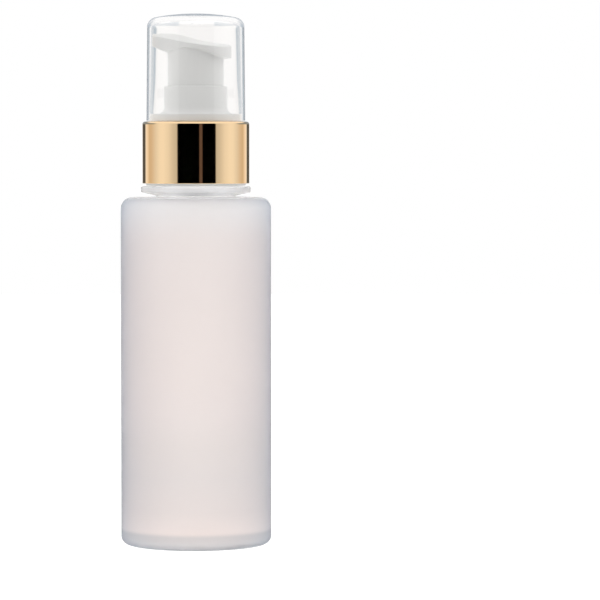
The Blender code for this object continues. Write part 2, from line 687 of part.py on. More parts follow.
def make_actuator(parts, cutters, material):
    skirt_bore = SKIRT_RADIUS - SKIRT_WALL
    inside = [
        (0, SOCKET_TOP_Z),
        (BOSS_BORE_RADIUS, SOCKET_TOP_Z),
        (BOSS_BORE_RADIUS, BOSS_Z),
        (BOSS_RADIUS, BOSS_Z),
        (BOSS_RADIUS, CEILING_Z),
        (skirt_bore, CEILING_Z),
        (skirt_bore, SKIRT_Z),
        (SKIRT_RADIUS, SKIRT_Z),
        (SKIRT_RADIUS, SKIRT_Z + SKIRT_LENGTH),
        (0, SKIRT_Z + SKIRT_LENGTH),
    ]
    actuator = turned("actuator", inside[::-1], MIDDLE_STEPS, parts, material, closed=False)
    head = lofted(
        "actuator_head", [head_section(*station) for station in HEAD_STATION_SHARES], cutters
    )
    boolean(actuator, head, "UNION")

    gusset_top_z = HEAD_Z + HEAD_HEIGHT * GUSSET_TOP_SHARE
    flare = [(SKIRT_RADIUS - SKIRT_WALL / 2, gusset_top_z)]
    for turn in np.linspace(0, math.pi / 2, ROUND_STEPS + 1):
        radius = SKIRT_RADIUS + GUSSET_REACH * (1 - math.sin(turn))
        flare.append((radius, gusset_top_z - GUSSET_HEIGHT * (1 - math.cos(turn))))
    flare += [(SKIRT_RADIUS - SKIRT_WALL / 2, gusset_top_z - GUSSET_HEIGHT)]
    gusset = turned("spout_gusset", flare, MIDDLE_STEPS, cutters)
    gusset_box = block(
        "spout_gusset_bounds",
        (-SKIRT_RADIUS - GUSSET_REACH - CUT_OVERRUN, -GUSSET_HALF_WIDTH, SKIRT_Z),
        (0, GUSSET_HALF_WIDTH, HEAD_Z + HEAD_HEIGHT),
        cutters,
    )
    boolean(gusset, gusset_box, "INTERSECT")
    boolean(actuator, gusset, "UNION")

    tip_x = HEAD_BACK_REACH - HEAD_LENGTH
    tip_z = HEAD_Z + HEAD_HEIGHT - SPOUT_BORE_DROP
    foot = Vector((0, 0, CEILING_Z + DUCT_FOOT_RISE))
    direction = (Vector((tip_x, 0, tip_z)) - foot).normalized()
    duct_radius = SPOUT_BORE_RADIUS + SPOUT_DUCT_WALL
    duct_end = foot + direction * ((SKIRT_RADIUS - SKIRT_WALL / 2) / -direction.x)
    duct = rod_between("spout_duct", foot, duct_end, duct_radius, TUBE_STEPS, cutters)
    boolean(actuator, duct, "UNION")
    bore_end = foot + direction * ((-tip_x + CUT_OVERRUN) / -direction.x)
    bore = rod_between("spout_bore", foot, bore_end, SPOUT_BORE_RADIUS, TUBE_STEPS, cutters)
    riser = rod_between(
        "riser_bore", (0, 0, SOCKET_TOP_Z - BOSS_RECESS), foot, SPOUT_BORE_RADIUS, SMALL_STEPS, cutters
    )
    boolean(actuator, bore, "DIFFERENCE")
    boolean(actuator, riser, "DIFFERENCE")
    return actuator


def make_stem(parts, material):
    top_z = SOCKET_TOP_Z - SEAT_GAP
    profile = [
        (STEM_BORE_RADIUS, STEM_Z),
        (STEM_BORE_RADIUS, top_z),
        (STEM_RADIUS, top_z),
        (STEM_RADIUS, STEM_Z),
    ]
    return turned("stem", profile, SMALL_STEPS, parts, material)


def make_piston_rod(parts, cutters, material):
    shank_top_z = ROD_DISC_TOP_Z + ROD_SHANK_LENGTH
    pilot_z = ROD_DISC_Z - ROD_PILOT_HEIGHT
    profile = [
        (0, shank_top_z),
        (ROD_SHANK_RADIUS, shank_top_z),
        (ROD_SHANK_RADIUS, ROD_DISC_TOP_Z),
        (ROD_DISC_RADIUS, ROD_DISC_TOP_Z),
        (ROD_DISC_RADIUS, ROD_DISC_Z),
        (ROD_PILOT_RADIUS, ROD_DISC_Z),
        (ROD_PILOT_RADIUS, pilot_z),
        (0, pilot_z),
    ]
    rod = turned("piston_rod", profile, SMALL_STEPS, parts, material, closed=False)
    flute_z = ROD_DISC_TOP_Z + ROD_SEAT_HEIGHT
    for index in range(ROD_FLUTE_COUNT):
        flute = block(
            f"rod_flute_{index + 1}",
            (ROD_SHANK_RADIUS - ROD_FLUTE_DEPTH, -ROD_FLUTE_WIDTH / 2, flute_z),
            (ROD_SHANK_RADIUS + CUT_OVERRUN, ROD_FLUTE_WIDTH / 2, shank_top_z + CUT_OVERRUN),
            cutters,
        )
        flute.data.transform(Matrix.Rotation(math.tau * index / ROD_FLUTE_COUNT, 4, "Z"))
        boolean(rod, flute, "DIFFERENCE")
    return rod


def make_piston(parts, material):
    bore = ROD_SHANK_RADIUS + PISTON_BORE_GAP
    profile = [
        (bore, PISTON_Z),
        (bore, PISTON_TOP_Z),
        (PISTON_HUB_RADIUS, PISTON_TOP_Z),
        (PISTON_HUB_RADIUS, PISTON_TOP_Z - PISTON_HOLLOW_DEPTH),
        (PISTON_WAIST_RADIUS, PISTON_TOP_Z - PISTON_HOLLOW_DEPTH),
        (PISTON_RADIUS - SEAT_GAP, PISTON_TOP_Z),
        (PISTON_RADIUS, PISTON_TOP_Z),
        (PISTON_RADIUS, PISTON_TOP_Z - PISTON_LIP_HEIGHT / 2),
        (PISTON_WAIST_RADIUS, PISTON_TOP_Z - 2 * PISTON_LIP_HEIGHT),
        (PISTON_WAIST_RADIUS, PISTON_Z + 2 * PISTON_LIP_HEIGHT),
        (PISTON_RADIUS, PISTON_Z + PISTON_LIP_HEIGHT / 2),
        (PISTON_RADIUS, PISTON_Z),
        (PISTON_RADIUS - SEAT_GAP, PISTON_Z),
        (PISTON_WAIST_RADIUS, PISTON_Z + PISTON_HOLLOW_DEPTH),
        (PISTON_HUB_RADIUS, PISTON_Z + PISTON_HOLLOW_DEPTH),
        (PISTON_HUB_RADIUS, PISTON_Z),
    ]
    return turned("piston", profile, SMALL_STEPS, parts, material)


def spring_points():
    """The wire's centre line: a close end coil, evenly pitched coils, and a close end coil."""
    low = LEDGE_Z + SEAT_GAP + SPRING_WIRE_RADIUS
    high = ROD_DISC_Z - SEAT_GAP - SPRING_WIRE_RADIUS
    end_rise = SPRING_END_TURNS * SPRING_END_PITCH_SHARE * 2 * SPRING_WIRE_RADIUS
    turns = SPRING_ACTIVE_TURNS + 2 * SPRING_END_TURNS
    knots_turn = (0, SPRING_END_TURNS, turns - SPRING_END_TURNS, turns)
    knots_z = (low, low + end_rise, high - end_rise, high)
    place = np.linspace(0, turns, round(turns * SPRING_POINTS_PER_TURN) + 1)
    angle = math.tau * place
    height = np.interp(place, knots_turn, knots_z)
    return np.column_stack((SPRING_RADIUS * np.cos(angle), SPRING_RADIUS * np.sin(angle), height))


def least_wire_gap(points):
    """Smallest clear distance between stretches of the wire that are at least half a turn apart."""
    apart = np.linalg.norm(points[:, None] - points[None, :], axis=2)
    steps = np.abs(np.subtract.outer(np.arange(len(points)), np.arange(len(points))))
    apart[steps < SPRING_POINTS_PER_TURN // 2] = np.inf
    return apart.min() - 2 * SPRING_WIRE_RADIUS


def make_spring(parts, material):
    points = spring_points()
    gap = least_wire_gap(points)
    print(f"return_spring: least gap between coils {gap:.6f} m, wanted over {SPRING_LEAST_GAP:.6f} m")
    curve = bpy.data.curves.new("return_spring", "CURVE")
    curve.dimensions = "3D"
    curve.bevel_depth = SPRING_WIRE_RADIUS
    curve.bevel_resolution = 1
    curve.use_fill_caps = True
    spline = curve.splines.new("POLY")
    spline.points.add(len(points) - 1)
    for point, place in zip(spline.points, points):
        point.co = (*place, 1)
    curve.materials.append(material)
    spring = bpy.data.objects.new("return_spring", curve)
    parts.objects.link(spring)
    return spring


def domed_end(side_radius, round_radius, rise, top_z, steps):
    """Points from the centre of a shallow dome out to its rounded corner, which meet it without a kink."""
    centre_radius = side_radius - round_radius
    slope = math.atan2(2 * rise, centre_radius)
    dome_radius = centre_radius + round_radius * math.sin(slope)
    corner = (centre_radius, top_z - rise - round_radius * math.cos(slope))
    points = [(dome_radius / 2, top_z - rise / 4)]
    return points + arc(corner, round_radius, 90 - math.degrees(slope), 0, steps)


def make_overcap(parts, material):
    foot_z = SHELL_TOP_Z + SEAT_GAP
    top_z = foot_z + CAP_HEIGHT
    ceiling_z = top_z - CAP_TOP_WALL
    grip_top_z = foot_z + CAP_GRIP_HEIGHT
    inner_mouth_radius = CAP_MOUTH_RADIUS - CAP_WALL
    outside = [(0, top_z)]
    outside += domed_end(CAP_TOP_RADIUS, CAP_TOP_ROUND, CAP_DOME_RISE, top_z, ROUND_STEPS + 1)
    outside += [
        (CAP_MOUTH_RADIUS, foot_z + CAP_MOUTH_BREAK),
        (CAP_MOUTH_RADIUS - CAP_MOUTH_BREAK, foot_z),
    ]
    inside = [
        (0, ceiling_z - CAP_GATE_HEIGHT),
        (CAP_GATE_RADIUS, ceiling_z - CAP_GATE_HEIGHT),
        (CAP_GATE_RADIUS, ceiling_z),
    ]
    inside += domed_end(
        CAP_TOP_RADIUS - CAP_WALL, CAP_TOP_ROUND - CAP_WALL, CAP_CEILING_RISE, ceiling_z, ROUND_STEPS
    )
    inside += [
        (inner_mouth_radius, grip_top_z + CAP_GRIP_RADIUS - inner_mouth_radius),
        (CAP_GRIP_RADIUS, grip_top_z),
        (CAP_GRIP_RADIUS, foot_z),
    ]
    return turned("overcap", outside + inside[::-1], LARGE_STEPS, parts, material, closed=False)


def main():
    empty_scene()
    parts = new_collection(PART_NAME)
    cutters = new_collection("cutters")
    frosted = new_material("frosted_plastic", (0.84, 0.80, 0.79), 0.55)
    white = new_material("white_plastic", (0.80, 0.80, 0.79), 0.40)
    natural = new_material("natural_plastic", (0.74, 0.75, 0.74), 0.45)
    gold = new_material("gold_aluminium", (0.83, 0.60, 0.36), 0.12, 1.0)
    steel = new_material("spring_steel", (0.55, 0.56, 0.58), 0.25, 1.0)
    foam = new_material("foam_gasket", (0.78, 0.78, 0.77), 0.85)
    clear = new_material("clear_plastic", (0.88, 0.89, 0.90), 0.05)
    clear.node_tree.nodes["Principled BSDF"].inputs["Transmission Weight"].default_value = 1.0

    make_bottle(parts, cutters, frosted)
    make_gasket(parts, foam)
    make_closure(parts, cutters, white)
    make_shell(parts, gold)
    make_housing(parts, cutters, natural)
    make_ball(parts, steel)
    make_dip_tube(parts, cutters, natural)
    make_chaplet(parts, white)
    make_actuator(parts, cutters, white)
    make_stem(parts, natural)
    make_piston_rod(parts, cutters, natural)
    make_piston(parts, natural)
    make_spring(parts, steel)
    make_overcap(parts, clear)


main()
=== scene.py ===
"""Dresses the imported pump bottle: fine surfaces, finishes, studio and camera.

Every length is in metres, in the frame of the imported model: +Z up, the spout towards -X.
Turned pieces are an outline of (radius, height) points carried round Z, and the head, the spring and
the threads are surfaces of their own. Each is worked out as whole arrays on a grid of rows and columns.
"""

import json
import math
from types import SimpleNamespace

import bpy
import numpy as np
from bpy.props import FloatProperty, FloatVectorProperty, IntProperty, PointerProperty
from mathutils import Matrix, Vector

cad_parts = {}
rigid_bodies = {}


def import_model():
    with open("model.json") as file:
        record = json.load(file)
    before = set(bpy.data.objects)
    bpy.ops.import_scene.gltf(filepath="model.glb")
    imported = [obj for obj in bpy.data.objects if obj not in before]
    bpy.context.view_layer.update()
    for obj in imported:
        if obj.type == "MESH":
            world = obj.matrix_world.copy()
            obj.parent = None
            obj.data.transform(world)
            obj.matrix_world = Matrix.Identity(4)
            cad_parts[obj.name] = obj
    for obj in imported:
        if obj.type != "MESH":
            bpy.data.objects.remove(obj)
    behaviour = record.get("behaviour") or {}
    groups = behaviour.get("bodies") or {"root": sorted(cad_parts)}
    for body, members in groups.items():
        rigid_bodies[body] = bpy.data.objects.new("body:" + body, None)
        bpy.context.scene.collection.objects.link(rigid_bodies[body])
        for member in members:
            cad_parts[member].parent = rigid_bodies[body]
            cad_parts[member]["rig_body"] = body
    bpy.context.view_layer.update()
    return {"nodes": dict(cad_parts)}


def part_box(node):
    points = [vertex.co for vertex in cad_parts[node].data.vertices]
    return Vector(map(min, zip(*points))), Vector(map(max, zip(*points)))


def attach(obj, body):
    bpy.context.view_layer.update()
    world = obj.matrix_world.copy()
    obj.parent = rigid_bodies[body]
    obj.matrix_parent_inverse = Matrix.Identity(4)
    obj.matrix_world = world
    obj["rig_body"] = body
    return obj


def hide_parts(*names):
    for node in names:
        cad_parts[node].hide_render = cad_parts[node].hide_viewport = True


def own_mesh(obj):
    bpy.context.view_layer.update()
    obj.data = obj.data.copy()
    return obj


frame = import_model()

bl_info = {
    "name": "Pump bottle",
    "version": (1, 0, 0),
    "blender": (4, 5, 0),
    "location": "View3D > Sidebar > Pump bottle",
    "description": "Makes a frosted pump bottle with its pump, collar and overcap on its packed frame",
    "category": "Object",
}

TAU = math.tau

# How finely the surfaces are drawn
LARGE_COLUMNS = 192
MIDDLE_COLUMNS = 96
SMALL_COLUMNS = 48
THREAD_ROW = 0.0001
FLUTE_ROW = 0.00025
SHARP_ANGLE = math.radians(30)
# Distance of the points that keep a long side's shading flat from the side's ends
HOLD = 0.00012
# How near two radii count as one, and the least length to divide by
TOUCH = 1e-6
TINY = 1e-9

# Radii of the rounds on edges and in inner corners
HAIR = 0.00005
KEEN = 0.0001
CRISP = 0.00015
FINE = 0.0002
SOFT = 0.0003
FULL = 0.0004
WIDE = 0.0005
# How far a cutter runs past the wall that it cuts
OVERRUN = 0.001


# Sizes and colours


def length(name, default, description):
    """A size in metres."""
    return FloatProperty(
        name=name, description=description, default=default, min=0.0, precision=5, unit="LENGTH"
    )


def share(name, default, description):
    """A number from 0 to 1."""
    return FloatProperty(
        name=name, description=description, default=default, min=0.0, max=1.0, subtype="FACTOR"
    )


def amount(name, default, description):
    """A plain number."""
    return FloatProperty(name=name, description=description, default=default, min=0.0)


def colour(name, default, description):
    """A colour as red, green and blue."""
    return FloatVectorProperty(
        name=name, description=description, default=default, size=3, min=0.0, max=1.0, subtype="COLOR"
    )


def low(node):
    """Height of a node's lowest point."""
    return float(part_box(node)[0][2])


def high(node):
    """Height of a node's highest point."""
    return float(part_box(node)[1][2])


def reach(node):
    """Largest radius of a turned node."""
    return float(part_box(node)[1][0])


class BottleSizes(bpy.types.PropertyGroup):
    """Sizes of the frosted bottle."""

    radius: length("Body radius", reach("bottle"), "Outside radius of the body")
    wall: length("Wall", 0.0009, "Thickness of the body's wall")
    shoulder_z: length("Shoulder height", 0.0925, "Height of the shoulder's outer edge")
    shoulder_round: length("Shoulder round", 0.0031, "Radius of the rounded shoulder")
    shoulder_rise: length("Shoulder rise", 0.0003, "Rise of the shoulder towards the neck")
    heel_round: length("Heel round", 0.00265, "Radius of the rounded heel")
    ring_width: length("Standing ring", 0.0018, "Width of the ring that the bottle stands on")
    push_up: length("Push-up", 0.0034, "Height of the hollow under the base")
    push_up_power: amount("Push-up power", 2.8, "Power of the push-up's curve; more is flatter on top")
    base_wall: length("Base wall", 0.0014, "Thickness of the base")
    gate_radius: length("Gate radius", 0.0016, "Radius of the moulding gate under the base")
    gate_height: length("Gate height", 0.0004, "Height of the moulding gate")
    neck_radius: length("Neck radius", 0.0108, "Outside radius of the neck")
    neck_bore: length("Neck bore", 0.0093, "Radius of the neck's bore")
    groove_radius: length("Groove radius", 0.0103, "Radius at the foot of the groove under the support ring")
    support_radius: length("Support ring", 0.0146, "Radius of the support ring")
    support_top_z: length("Support ring height", 0.0953, "Height of the support ring's top")
    support_edge: length("Support ring edge", 0.0015, "Height of the support ring's outer edge")
    edge_round: length("Edge round", 0.0004, "Round on the rim and on the support ring")


class ThreadSizes(bpy.types.PropertyGroup):
    """Sizes of the screw thread on the neck and in the closure."""

    pitch: length("Pitch", 0.003175, "Rise of the thread in one turn")
    turns: amount("Turns", 1.5, "Turns of the thread")
    drop: length("Drop", 0.0022, "Distance from the neck's rim down to the thread's upper end")
    depth: length("Depth", 0.00105, "Depth of the neck's thread")
    closure_depth: length("Closure depth", 0.0010, "Depth of the closure's thread")
    root: length("Root width", 0.0016, "Width of the ridge at its root")
    crest: length("Crest width", 0.0007, "Width of the ridge at its crest")
    fade: amount("Fade", 0.12, "Turns over which each end fades into the wall")
    closure_drop: length("Closure drop", 0.00150, "How far the closure's ridge runs under the neck's")


class ClosureSizes(bpy.types.PropertyGroup):
    """Sizes of the screw closure, the metal collar over it and the neck gasket."""

    bore: length("Bore", 0.01215, "Radius of the closure's bore")
    hole: length("Hole", 0.00835, "Radius of the hole in the closure's deck")
    deck: length("Deck", 0.0009, "Thickness of the closure's deck")
    lip_radius: length("Lip radius", 0.0132, "Radius of the lip that shows under the collar")
    lip_height: length("Lip height", 0.0006, "Height of that lip")
    collar_wall: length("Collar wall", 0.00045, "Thickness of the metal collar")
    collar_round: length("Collar round", 0.0008, "Radius of the collar's upper edge")
    collar_hole: length("Collar hole", 0.00875, "Radius of the hole in the collar's top")
    gasket_bore: length("Gasket bore", 0.0092, "Radius of the gasket's bore")


class HousingSizes(bpy.types.PropertyGroup):
    """Sizes of the pump housing, its ball and its dip tube."""

    flange: length("Flange", 0.0008, "Thickness of the flange on the neck")
    cup_radius: length("Cup radius", 0.0090, "Outside radius of the cup")
    cup_bore: length("Cup bore", 0.0081, "Inside radius of the cup")
    cup_depth: length("Cup depth", 0.0066, "Depth of the cup under the flange's top")
    cup_floor: length("Cup floor", 0.0010, "Thickness of the cup's floor")
    cone: length("Cone", 0.0020, "Height of the cone under the cup")
    barrel_bore: length("Barrel bore", 0.0038, "Inside radius of the barrel")
    barrel_radius: length("Barrel radius", 0.0046, "Outside radius of the barrel")
    barrel: length("Barrel length", 0.0199, "Length of the barrel")
    chamber_bore: length("Ball chamber", 0.00235, "Radius of the ball's chamber")
    chamber_radius: length("Ball case", 0.00335, "Outside radius round the ball's chamber")
    chamber: length("Chamber height", 0.0037, "Height of the ball's chamber")
    seat: length("Seat height", 0.0012, "Height of the ball's conical seat")
    inlet: length("Inlet radius", 0.0012, "Radius of the inlet")
    inlet_length: length("Inlet length", 0.0006, "Length of the inlet")
    tail_bore: length("Tail bore", 0.0021, "Radius that takes the dip tube")
    tail_radius: length("Tail radius", 0.0030, "Outside radius of the tail")
    snap_depth: length("Snap depth", 0.00025, "Depth of the snap groove and bead")
    snap_height: length("Snap height", 0.0008, "Height of the snap groove and bead")
    snap_drop: length("Snap drop", 0.0016, "Distance of the snap under the flange's top")
    vent: length("Vent radius", 0.0004, "Radius of the barrel's vent hole")
    vent_drop: length("Vent drop", 0.0025, "Distance of the vent under the cone")
    nib_reach: length("Nib reach", 0.0010, "How far the nibs over the ball reach in")
    nib_width: length("Nib width", 0.0008, "Width of a nib")
    nib_height: length("Nib height", 0.0006, "Height of a nib")
    nib_count: IntProperty(name="Nibs", description="Number of nibs over the ball", default=3, min=1)
    ball_radius: length("Ball radius", 0.00175, "Radius of the check ball")
    tube_radius: length("Dip tube radius", 0.0020, "Outside radius of the dip tube")
    tube_bore: length("Dip tube bore", 0.00135, "Inside radius of the dip tube")
    tube_cut: FloatProperty(
        name="Dip tube cut", description="Angle of the cut at the dip tube's foot",
        default=math.radians(35), min=0.0, max=1.2, unit="ROTATION",
    )


class PlungerSizes(bpy.types.PropertyGroup):
    """Sizes of the stem, the piston rod, the piston and the spring."""

    stem_radius: length("Stem radius", 0.0029, "Outside radius of the stem")
    stem_bore: length("Stem bore", 0.00175, "Inside radius of the stem")
    shank: length("Rod shank", 0.0016, "Radius of the rod's shank")
    flute_width: length("Flute width", 0.0007, "Width of the rod's flutes")
    flute_depth: length("Flute depth", 0.0006, "Depth of the rod's flutes")
    flute_start: length("Flute start", 0.0008, "Height of the flutes' lower ends above the disc")
    flute_count: IntProperty(name="Flutes", description="Number of flutes", default=4, min=1)
    disc_radius: length("Disc radius", 0.0032, "Radius of the rod's disc")
    disc: length("Disc height", 0.0009, "Height of the rod's disc")
    pilot_radius: length("Pilot radius", 0.0022, "Radius of the pilot that centres the spring")
    pilot: length("Pilot height", 0.0022, "Height of the pilot")
    piston_waist: length("Piston waist", 0.0031, "Radius of the piston between its lips")
    piston_hub: length("Piston hub", 0.0024, "Radius of the piston's hub")
    piston_bore: length("Piston bore", 0.0018, "Radius of the piston's bore")
    piston_hollow: length("Piston hollow", 0.0009, "Depth of the hollow behind each lip")
    lip: length("Piston lip", 0.0010, "Height of a lip")
    coil_radius: length("Coil radius", 0.00285, "Radius of the spring's centre line")
    wire: length("Wire radius", 0.0003, "Radius of the spring's wire")
    active_turns: amount("Active turns", 6.5, "Turns of the spring that work")
    end_turns: amount("End turns", 1.0, "Close turns at each end of the spring")
    end_pitch: amount("End pitch", 1.75, "Pitch of the end turns as a multiple of the wire's diameter")
    squeezed: share("Squeezed", 0.617, "Length of the spring at full stroke as a share of its rest length")


class TowerSizes(bpy.types.PropertyGroup):
    """Sizes of the guide tower and its flange."""

    radius: length("Tower radius", 0.0084, "Outside radius of the tower")
    bore: length("Tower bore", 0.00763, "Inside radius of the tower")
    flare: length("Flare", 0.0019, "Radius of the flare at the tower's foot")
    rim_round: length("Rim round", 0.00045, "Round on the tower's rim")
    flange: length("Flange height", 0.0019, "Height of the flange that the overcap grips")
    flange_round: length("Flange round", 0.0002, "Round on the flange's edges")
    floor: length("Floor", 0.0008, "Thickness of the tower's floor")
    seat_z: length("Seat height", 0.11265, "Height at which the flange sits on the collar")
    hub: length("Hub radius", 0.0080, "Outside radius of the hub in the housing")
    hub_wall: length("Hub wall", 0.0009, "Thickness of the hub")
    hub_length: length("Hub length", 0.0040, "Length of the hub")
    guide: length("Guide radius", 0.0039, "Outside radius of the stem's guide")
    guide_bore: length("Guide bore", 0.0031, "Inside radius of the stem's guide")


class HeadSizes(bpy.types.PropertyGroup):
    """Sizes of the actuator's head, spout and skirt."""

    foot_z: length("Head height", 0.12935, "Height of the lowest point of the head's outline")
    skirt: length("Skirt radius", 0.00743, "Outside radius of the skirt")
    skirt_wall: length("Skirt wall", 0.0009, "Thickness of the skirt")
    ceiling: length("Ceiling", 0.0118, "Height of the ceiling over the skirt's rim")
    boss: length("Boss radius", 0.0041, "Outside radius of the boss that takes the stem")
    socket: length("Socket radius", 0.0030, "Radius of the socket in the boss")
    socket_drop: length("Socket drop", 0.0022, "Distance of the socket's top under the ceiling")
    boss_recess: length("Boss recess", 0.0002, "How far the boss ends above the skirt's rim")
    edge_round: length("Edge round", 0.00025, "Round on the head's upper edge")
    lower_round: length("Lower round", 0.00045, "Round on the head's lower edge")
    corner_round: length("Corner round", 0.0003, "Rounding of the outline's corners")
    fillet: length("Fillet", 0.00055, "Fillet between the head and the skirt")
    gusset: length("Gusset", 0.0003, "Extra fillet under the spout")
    bore: length("Spout bore", 0.0009, "Radius of the spout's bore")
    duct_wall: length("Duct wall", 0.0008, "Thickness of the duct's wall")
    bore_drop: length("Bore drop", 0.0015, "Distance of the spout's mouth under the head's top")


class OvercapSizes(bpy.types.PropertyGroup):
    """Sizes of the clear overcap."""

    top_radius: length("Top radius", 0.01297, "Outside radius at the top")
    wall: length("Wall", 0.0010, "Thickness of the side wall")
    top_wall: length("Top wall", 0.0016, "Thickness of the top")
    top_round: length("Top round", 0.0028, "Radius of the rounded corner")
    dome: length("Dome rise", 0.0010, "Rise of the domed top")
    ceiling_rise: length("Ceiling rise", 0.0005, "Rise of the domed ceiling")
    grip_radius: length("Grip radius", 0.01242, "Inside radius where the overcap grips the flange")
    grip_height: length("Grip height", 0.0026, "Height of the grip")
    grip_fade: length("Grip fade", 0.0080, "Height over which the grip fades into the wall")
    gate_radius: length("Gate radius", 0.0014, "Radius of the moulding gate under the top")
    gate_height: length("Gate height", 0.0003, "Height of the moulding gate")
    mouth_round: length("Mouth round", 0.0002, "Round on the mouth's edge")


class Finishes(bpy.types.PropertyGroup):
    """Colours and gloss of the finishes, and the colours of their painted shade."""

    frost: colour("Frost", (0.974, 0.931, 0.914), "Colour of the frosted bottle")
    # Painted shade: the colour that the camera sees on frost at a slant
    frost_edge: colour("Frost edge", (0.46, 0.53, 0.63), "Colour of the frosted wall seen at a slant")
    frost_roughness: share("Frost roughness", 0.75, "Roughness of the frosted surface")
    white: colour("White plastic", (0.84, 0.845, 0.835), "Colour of the white plastic")
    white_roughness: share("White roughness", 0.34, "Roughness of the white plastic")
    natural: colour("Natural plastic", (0.93, 0.935, 0.93), "Colour of the pump's natural plastic")
    gold: colour("Gold", (0.925, 0.68, 0.41), "Colour of the gold collar")
    gold_roughness: share("Gold roughness", 0.06, "Roughness of the polished collar")
    steel: colour("Steel", (0.58, 0.59, 0.61), "Colour of the spring and the ball")
    foam: colour("Foam", (0.80, 0.80, 0.79), "Colour of the foam gasket")
    clear: colour("Clear plastic", (0.988, 0.980, 0.972), "Colour of the clear overcap")
    # Painted shade: the colour that the camera sees along the clear wall's outline
    clear_edge: colour("Clear edge", (0.40, 0.45, 0.50), "Colour of the clear wall along its outline")
    clear_index: amount("Clear index", 1.57, "Index of refraction of the clear overcap")


class StudioSizes(bpy.types.PropertyGroup):
    """Camera, floor and light of the studio."""

    camera: FloatVectorProperty(
        name="Camera", description="Where the camera stands", size=3, unit="LENGTH",
        default=(0.0277, -0.892, 0.1037),
    )
    tilt: FloatProperty(
        name="Tilt", description="How far the camera looks down", default=math.radians(2.48), unit="ROTATION"
    )
    lens: amount("Lens", 201.0, "Focal length in millimetres on a 36 mm frame")
    floor_radius: length("Floor radius", 1.6, "Radius of the round floor")
    floor_colour: colour("Floor", (0.80, 0.80, 0.80), "Colour of the floor")
    turn: amount("Turn", 3.4, "How far the studio is turned towards +X, in degrees")
    overhead: amount("Overhead", 1.13, "Brightness of the studio's ceiling")
    sides: amount("Sides", 1.14, "Brightness of the studio's sides")
    front: amount("Front", 0.02, "Brightness of the room in front of the object")
    edges: colour("Edges", (0.70, 0.69, 0.74), "Colour of the sweep's sides, seen through the bottle")


GROUPS = (
    BottleSizes, ThreadSizes, ClosureSizes, HousingSizes, PlungerSizes, TowerSizes, HeadSizes,
    OvercapSizes, Finishes, StudioSizes,
)


class PumpBottle(bpy.types.PropertyGroup):
    """All sizes, finishes and studio settings of the pump bottle."""

    bottle: PointerProperty(type=BottleSizes)
    thread: PointerProperty(type=ThreadSizes)
    closure: PointerProperty(type=ClosureSizes)
    housing: PointerProperty(type=HousingSizes)
    plunger: PointerProperty(type=PlungerSizes)
    tower: PointerProperty(type=TowerSizes)
    head: PointerProperty(type=HeadSizes)
    overcap: PointerProperty(type=OvercapSizes)
    finishes: PointerProperty(type=Finishes)
    studio: PointerProperty(type=StudioSizes)


# Curves and surfaces

# Most of a side that one fillet takes, so that two never meet, and the largest cosine of a corner
MOST_OF_SIDE = 0.49
NEAR_STRAIGHT = 0.9999
SAME_POINT = 1e-8
# Width over which the edges of a nib or a flute are eased
BAND_EASE = 0.0002


def smooth(value):
    """0 below 0, 1 above 1, and 3 v^2 - 2 v^3 between them."""
    value = np.clip(value, 0.0, 1.0)
    return value * value * (3 - 2 * value)


def steps_of(count):
    """Even shares in a number of steps, from just past 0 up to 1."""
    return np.linspace(0, 1, count + 1)[1:]


def around(columns):
    """Even angles round Z, one for each column."""
    return TAU * np.arange(columns) / columns


def unit(vectors):
    """Vectors divided by their lengths, and those lengths."""
    lengths = np.maximum(np.linalg.norm(vectors, axis=1), TINY)
    return vectors / lengths[:, None], lengths


def eased(place, knots, values):
    """A smooth curve through (knot, value) points: cubics that share the slope at each knot."""
    knots, values = np.asarray(knots, float), np.asarray(values, float)
    slopes = np.gradient(values, knots)
    index = np.clip(np.searchsorted(knots, place) - 1, 0, len(knots) - 2)
    span = knots[index + 1] - knots[index]
    t = np.clip((place - knots[index]) / span, 0.0, 1.0)
    start, end = values[index], values[index + 1]
    lean = (slopes[index] * (1 - t) - slopes[index + 1] * t) * span
    return start + (end - start) * smooth(t) + t * (1 - t) * lean


def filleted(corners, closed, steps=6):
    """An outline through (radius, height, fillet) corners.

    A fillet is an arc that touches both sides of its corner. Its centre lies on the corner's bisector,
    fillet / sin(half the corner's angle) away, and its ends lie fillet / tan(half the angle) along the sides.
    """
    corners = np.asarray(corners, float)
    place, fillet = corners[:, :2], corners[:, 2].copy()
    if not closed:
        fillet[[0, -1]] = 0
    back, back_length = unit(np.roll(place, 1, axis=0) - place)
    ahead, ahead_length = unit(np.roll(place, -1, axis=0) - place)
    half = np.arccos(np.clip((back * ahead).sum(axis=1), -NEAR_STRAIGHT, NEAR_STRAIGHT)) / 2
    along = np.minimum(fillet / np.tan(half), MOST_OF_SIDE * np.minimum(back_length, ahead_length))
    fillet = along * np.tan(half)
    centre = place + unit(back + ahead)[0] * (fillet / np.sin(half))[:, None]
    first, last = place + back * along[:, None] - centre, place + ahead * along[:, None] - centre
    sweep = np.pi - 2 * half
    t = np.linspace(0, 1, steps + 1)
    sine = np.maximum(np.sin(sweep), TINY)[:, None]
    near = np.sin(sweep[:, None] * (1 - t)) / sine
    far = np.sin(sweep[:, None] * t) / sine
    points = centre[:, None] + near[..., None] * first[:, None] + far[..., None] * last[:, None]
    points[fillet <= 0] = place[fillet <= 0][:, None]
    points = points.reshape(-1, 2)
    following = np.roll(points, -1, axis=0) if closed else np.vstack((points[1:], points[-1:] + 1))
    points = points[np.linalg.norm(following - points, axis=1) > SAME_POINT]
    return held(points, closed)


